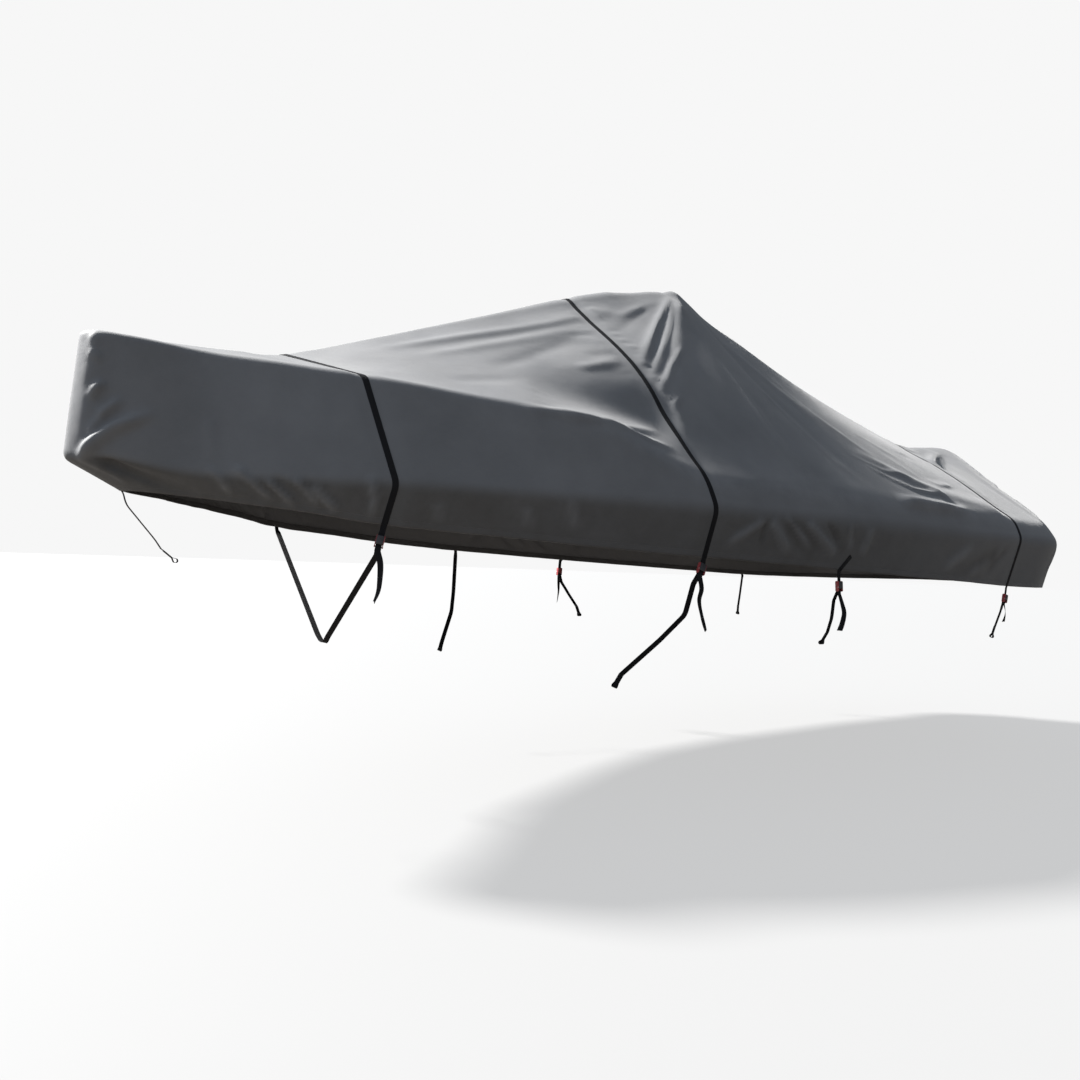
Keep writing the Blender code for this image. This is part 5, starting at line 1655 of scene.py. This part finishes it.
class BOATCOVER_OT_stage(bpy.types.Operator):
    """Adds the pale floor, the soft lights and the camera"""

    bl_idname = "boat_cover.stage"
    bl_label = "Set the Stage"

    def execute(self, context):
        settings = context.scene.boat_cover_stage
        make_floor(settings)
        add_key_light(settings)
        make_sky(settings)
        camera = bpy.data.cameras.new("camera")
        camera.lens = settings.lens
        camera.sensor_width = SENSOR_WIDTH
        holder = add_object("camera", camera)
        turn = Euler([math.radians(angle) for angle in EYE_TURN])
        holder.matrix_world = Matrix.LocRotScale(Vector(EYE), turn, None)
        context.scene.camera = holder
        context.scene.view_settings.view_transform = "Standard"
        return {"FINISHED"}


def make_floor(settings):
    """A wide round floor. The camera sees its own colour and glow, and other rays meet its bounce colour."""
    material, nodes, shader = new_material("stage")
    seen = nodes.add("ShaderNodeLightPath").outputs["Is Camera Ray"]
    colour = nodes.mix(seen, solid(settings.bounce_colour), solid(settings.floor_colour))
    glow = nodes.times(seen, settings.floor_glow)
    set_shader(nodes, shader, Base_Color=colour, Roughness=0.9)
    set_shader(nodes, shader, Emission_Color=solid(WHITE), Emission_Strength=glow)
    deselect()
    bpy.ops.mesh.primitive_circle_add(
        vertices=96, radius=FLOOR_RADIUS, fill_type="NGON", location=(0.0, 0.0, GROUND)
    )
    floor = current("floor")
    floor.data.materials.append(material)


def make_sky(settings):
    """Soft light all round, strongest over the bow, behind a backdrop as pale as the floor."""
    world = bpy.data.worlds.new("sky")
    bpy.context.scene.world = world
    world.use_nodes = True
    nodes = Nodes(world.node_tree)
    direction = nodes.add("ShaderNodeTexCoord").outputs["Generated"]
    toward = nodes.add("ShaderNodeVectorMath", {0: direction, 1: GLOW_FROM}, operation="DOT_PRODUCT")
    glow = nodes.maths("POWER", nodes.ramp(toward.outputs["Value"], -0.6, 1.0), 2.0)
    strength = nodes.times(nodes.maths("MULTIPLY_ADD", glow, SKY_GLOW, SKY_EVEN), settings.sky)
    light = world.node_tree.nodes["Background"]
    nodes.put(light.inputs["Color"], solid(SKY_COLOUR))
    nodes.put(light.inputs["Strength"], strength)
    backdrop = nodes.add("ShaderNodeBackground", {"Color": solid(WHITE), "Strength": settings.backdrop})
    seen = nodes.add("ShaderNodeLightPath").outputs["Is Camera Ray"]
    both = nodes.add("ShaderNodeMixShader", {0: seen, 1: light.outputs[0], 2: backdrop.outputs[0]})
    nodes.put(world.node_tree.nodes["World Output"].inputs["Surface"], both.outputs[0])


def add_key_light(settings):
    """A broad light, high on the starboard bow."""
    light = bpy.data.lights.new("key", "SUN")
    light.energy = settings.key_strength
    light.angle = settings.key_softness
    light.color = KEY_COLOUR
    holder = add_object("key", light)
    holder.matrix_world = Vector(KEY_FROM).to_track_quat("Z", "Y").to_matrix().to_4x4()


# ---- Settings and operators ----


class ClothSettings(bpy.types.PropertyGroup):
    """The cloth's sizes and colours."""

    hem_thickness: FloatProperty(
        name="Hem thickness", description="How thick the folded hem is", default=0.0045, unit="LENGTH"
    )
    unevenness: FloatProperty(
        name="Unevenness", description="How far the cloth strays from smooth", default=0.006, unit="LENGTH"
    )
    strap_dent: FloatProperty(
        name="Strap dent", description="How far the cloth swells beside a strap",
        default=0.0035, unit="LENGTH",
    )
    crease_strength: FloatProperty(
        name="Crease strength", description="Scales the smaller creases' heights", default=1.0
    )
    stitch_pitch: FloatProperty(
        name="Stitch pitch", description="Distance from hem stitch to hem stitch",
        default=0.005, unit="LENGTH",
    )
    thread_radius: FloatProperty(
        name="Thread radius", description="Radius of the hem's thread", default=0.0004, unit="LENGTH"
    )
    weave_pitch: FloatProperty(
        name="Weave pitch", description="Distance from thread to thread", default=0.0016, unit="LENGTH"
    )
    colour: FloatVectorProperty(
        name="Cloth", description="Colour of the cloth", subtype="COLOR", default=(0.095, 0.097, 0.103)
    )
    thread_colour: FloatVectorProperty(
        name="Thread", description="Colour of the hem's thread", subtype="COLOR", default=(0.10, 0.10, 0.105)
    )
    worn_colour: FloatVectorProperty(
        name="Rubbed", description="Colour where rails rub the cloth",
        subtype="COLOR", default=(0.19, 0.19, 0.20),
    )
    # Dust on what faces up, which also paints light on the cloth's top.
    dust_colour: FloatVectorProperty(
        name="Dust", description="Colour of settled dust", subtype="COLOR", default=(0.21, 0.205, 0.195)
    )
    # The skirt's painted shade, and the grime inside the hem.
    shade_and_grime_colour: FloatVectorProperty(
        name="Grime", description="Colour of grime low on the skirt",
        subtype="COLOR", default=(0.040, 0.039, 0.039),
    )
    lining_colour: FloatVectorProperty(
        name="Inner face", description="Colour of the coated inner face",
        subtype="COLOR", default=(0.15, 0.15, 0.157),
    )


class WebbingSettings(bpy.types.PropertyGroup):
    """The webbing's sizes and colours."""

    width: FloatProperty(name="Width", description="Width of the webbing", default=0.025, unit="LENGTH")
    thickness: FloatProperty(
        name="Thickness", description="Thickness of the webbing", default=0.0015, unit="LENGTH"
    )
    stitch_pitch: FloatProperty(
        name="Stitch pitch", description="Distance from stitch to stitch", default=0.0032, unit="LENGTH"
    )
    thread_radius: FloatProperty(
        name="Thread radius", description="Radius of the sewing thread", default=0.00032, unit="LENGTH"
    )
    colour: FloatVectorProperty(
        name="Webbing", description="Colour of the webbing", subtype="COLOR", default=(0.009, 0.009, 0.010)
    )
    dust_colour: FloatVectorProperty(
        name="Dust", description="Colour of settled dust", subtype="COLOR", default=(0.16, 0.15, 0.14)
    )
    thread_colour: FloatVectorProperty(
        name="Thread", description="Colour of the sewing thread", subtype="COLOR", default=(0.05, 0.05, 0.052)
    )


class BuckleSettings(bpy.types.PropertyGroup):
    """The buckles' colours."""

    frame_colour: FloatVectorProperty(
        name="Frame", description="Colour of the coated frame", subtype="COLOR", default=(0.25, 0.03, 0.035)
    )
    chipped_colour: FloatVectorProperty(
        name="Chipped", description="Colour under the chipped coat",
        subtype="COLOR", default=(0.05, 0.045, 0.042),
    )
    lever_colour: FloatVectorProperty(
        name="Lever", description="Colour of the moulded lever", subtype="COLOR", default=(0.02, 0.02, 0.022)
    )


class BOATCOVER_OT_cloth(bpy.types.Operator):
    """Makes the cover's cloth with its folds, creases and hem"""

    bl_idname = "boat_cover.cloth"
    bl_label = "Make the Cloth"

    def execute(self, context):
        settings = context.scene.boat_cover_cloth
        make_cover(net_of(settings), settings)
        return {"FINISHED"}


class BOATCOVER_OT_hem_stitching(bpy.types.Operator):
    """Sews the hem's row of stitches"""

    bl_idname = "boat_cover.hem_stitching"
    bl_label = "Sew the Hem"

    def execute(self, context):
        settings = context.scene.boat_cover_cloth
        make_hem_stitching(net_of(settings), settings)
        return {"FINISHED"}


class BOATCOVER_OT_girth_straps(bpy.types.Operator):
    """Makes the three straps that pass right over the cover, with their legs, tails and sewn laps"""

    bl_idname = "boat_cover.girth_straps"
    bl_label = "Make the Girth Straps"

    def execute(self, context):
        settings = context.scene.boat_cover_webbing
        net = net_of(context.scene.boat_cover_cloth)
        seams = sum((make_girth_strap(name, net, settings) for name in GIRTH_STRAPS), [])
        make_seams("girth_strap_stitching", seams, settings)
        return {"FINISHED"}


class BOATCOVER_OT_quarter_straps(bpy.types.Operator):
    """Makes the two short straps sewn to the skirt, with their legs, tails and sewn laps"""

    bl_idname = "boat_cover.quarter_straps"
    bl_label = "Make the Quarter Straps"

    def execute(self, context):
        settings = context.scene.boat_cover_webbing
        net = net_of(context.scene.boat_cover_cloth)
        seams = sum((make_quarter_strap(*side, net, settings) for side in SIDES.items()), [])
        make_seams("quarter_strap_stitching", seams, settings)
        return {"FINISHED"}


class BOATCOVER_OT_bow_strap(bpy.types.Operator):
    """Makes the strap sewn inside the hem at the stem"""

    bl_idname = "boat_cover.bow_strap"
    bl_label = "Make the Bow Strap"

    def execute(self, context):
        settings = context.scene.boat_cover_webbing
        make_seams("bow_strap_stitching", make_bow_strap(settings), settings)
        return {"FINISHED"}


class BOATCOVER_OT_buckles(bpy.types.Operator):
    """Models one cam buckle and places a copy on each strap"""

    bl_idname = "boat_cover.buckles"
    bl_label = "Make the Buckles"

    def execute(self, context):
        settings = context.scene.boat_cover_buckle
        thickness = context.scene.boat_cover_webbing.thickness
        places = buckle_places(net_of(context.scene.boat_cover_cloth), thickness)
        frame_metal, plastic = coated_metal(settings), moulded_plastic(settings)
        place_copies(model_buckle_frame(), "buckle_body", places, frame_metal, "buckle_frame")
        place_copies(model_lever(), "buckle_cam", places, plastic, "buckle_lever")
        place_copies(model_pin(), "buckle_pin", places, plated_steel(), None)
        return {"FINISHED"}


class BOATCOVER_PT_panel(bpy.types.Panel):
    """Lists the cover's steps in the order in which they run"""

    bl_idname = "BOATCOVER_PT_panel"
    bl_label = "Boat Cover"
    bl_space_type = "VIEW_3D"
    bl_region_type = "UI"
    bl_category = "Boat Cover"

    def draw(self, context):
        for operator in OPERATORS:
            self.layout.operator(operator.bl_idname)
        for name in SETTINGS:
            box = self.layout.box()
            settings = getattr(context.scene, name)
            for item in settings.bl_rna.properties:
                if not item.is_readonly:
                    box.prop(settings, item.identifier)


SETTINGS = {
    "boat_cover_cloth": ClothSettings,
    "boat_cover_webbing": WebbingSettings,
    "boat_cover_buckle": BuckleSettings,
    "boat_cover_stage": StageSettings,
}
OPERATORS = (
    BOATCOVER_OT_cloth,
    BOATCOVER_OT_hem_stitching,
    BOATCOVER_OT_girth_straps,
    BOATCOVER_OT_quarter_straps,
    BOATCOVER_OT_bow_strap,
    BOATCOVER_OT_buckles,
    BOATCOVER_OT_stage,
)
CLASSES = (*SETTINGS.values(), *OPERATORS, BOATCOVER_PT_panel)


def register():
    for item in CLASSES:
        bpy.utils.register_class(item)
    for name, settings in SETTINGS.items():
        setattr(bpy.types.Scene, name, PointerProperty(type=settings))


def unregister():
    for name in SETTINGS:
        delattr(bpy.types.Scene, name)
    for item in reversed(CLASSES):
        bpy.utils.unregister_class(item)


def main():
    register()
    bpy.ops.boat_cover.cloth()
    bpy.ops.boat_cover.hem_stitching()
    bpy.ops.boat_cover.girth_straps()
    bpy.ops.boat_cover.quarter_straps()
    bpy.ops.boat_cover.bow_strap()
    bpy.ops.boat_cover.buckles()
    bpy.ops.boat_cover.stage()


if __name__ == "__main__":
    main()
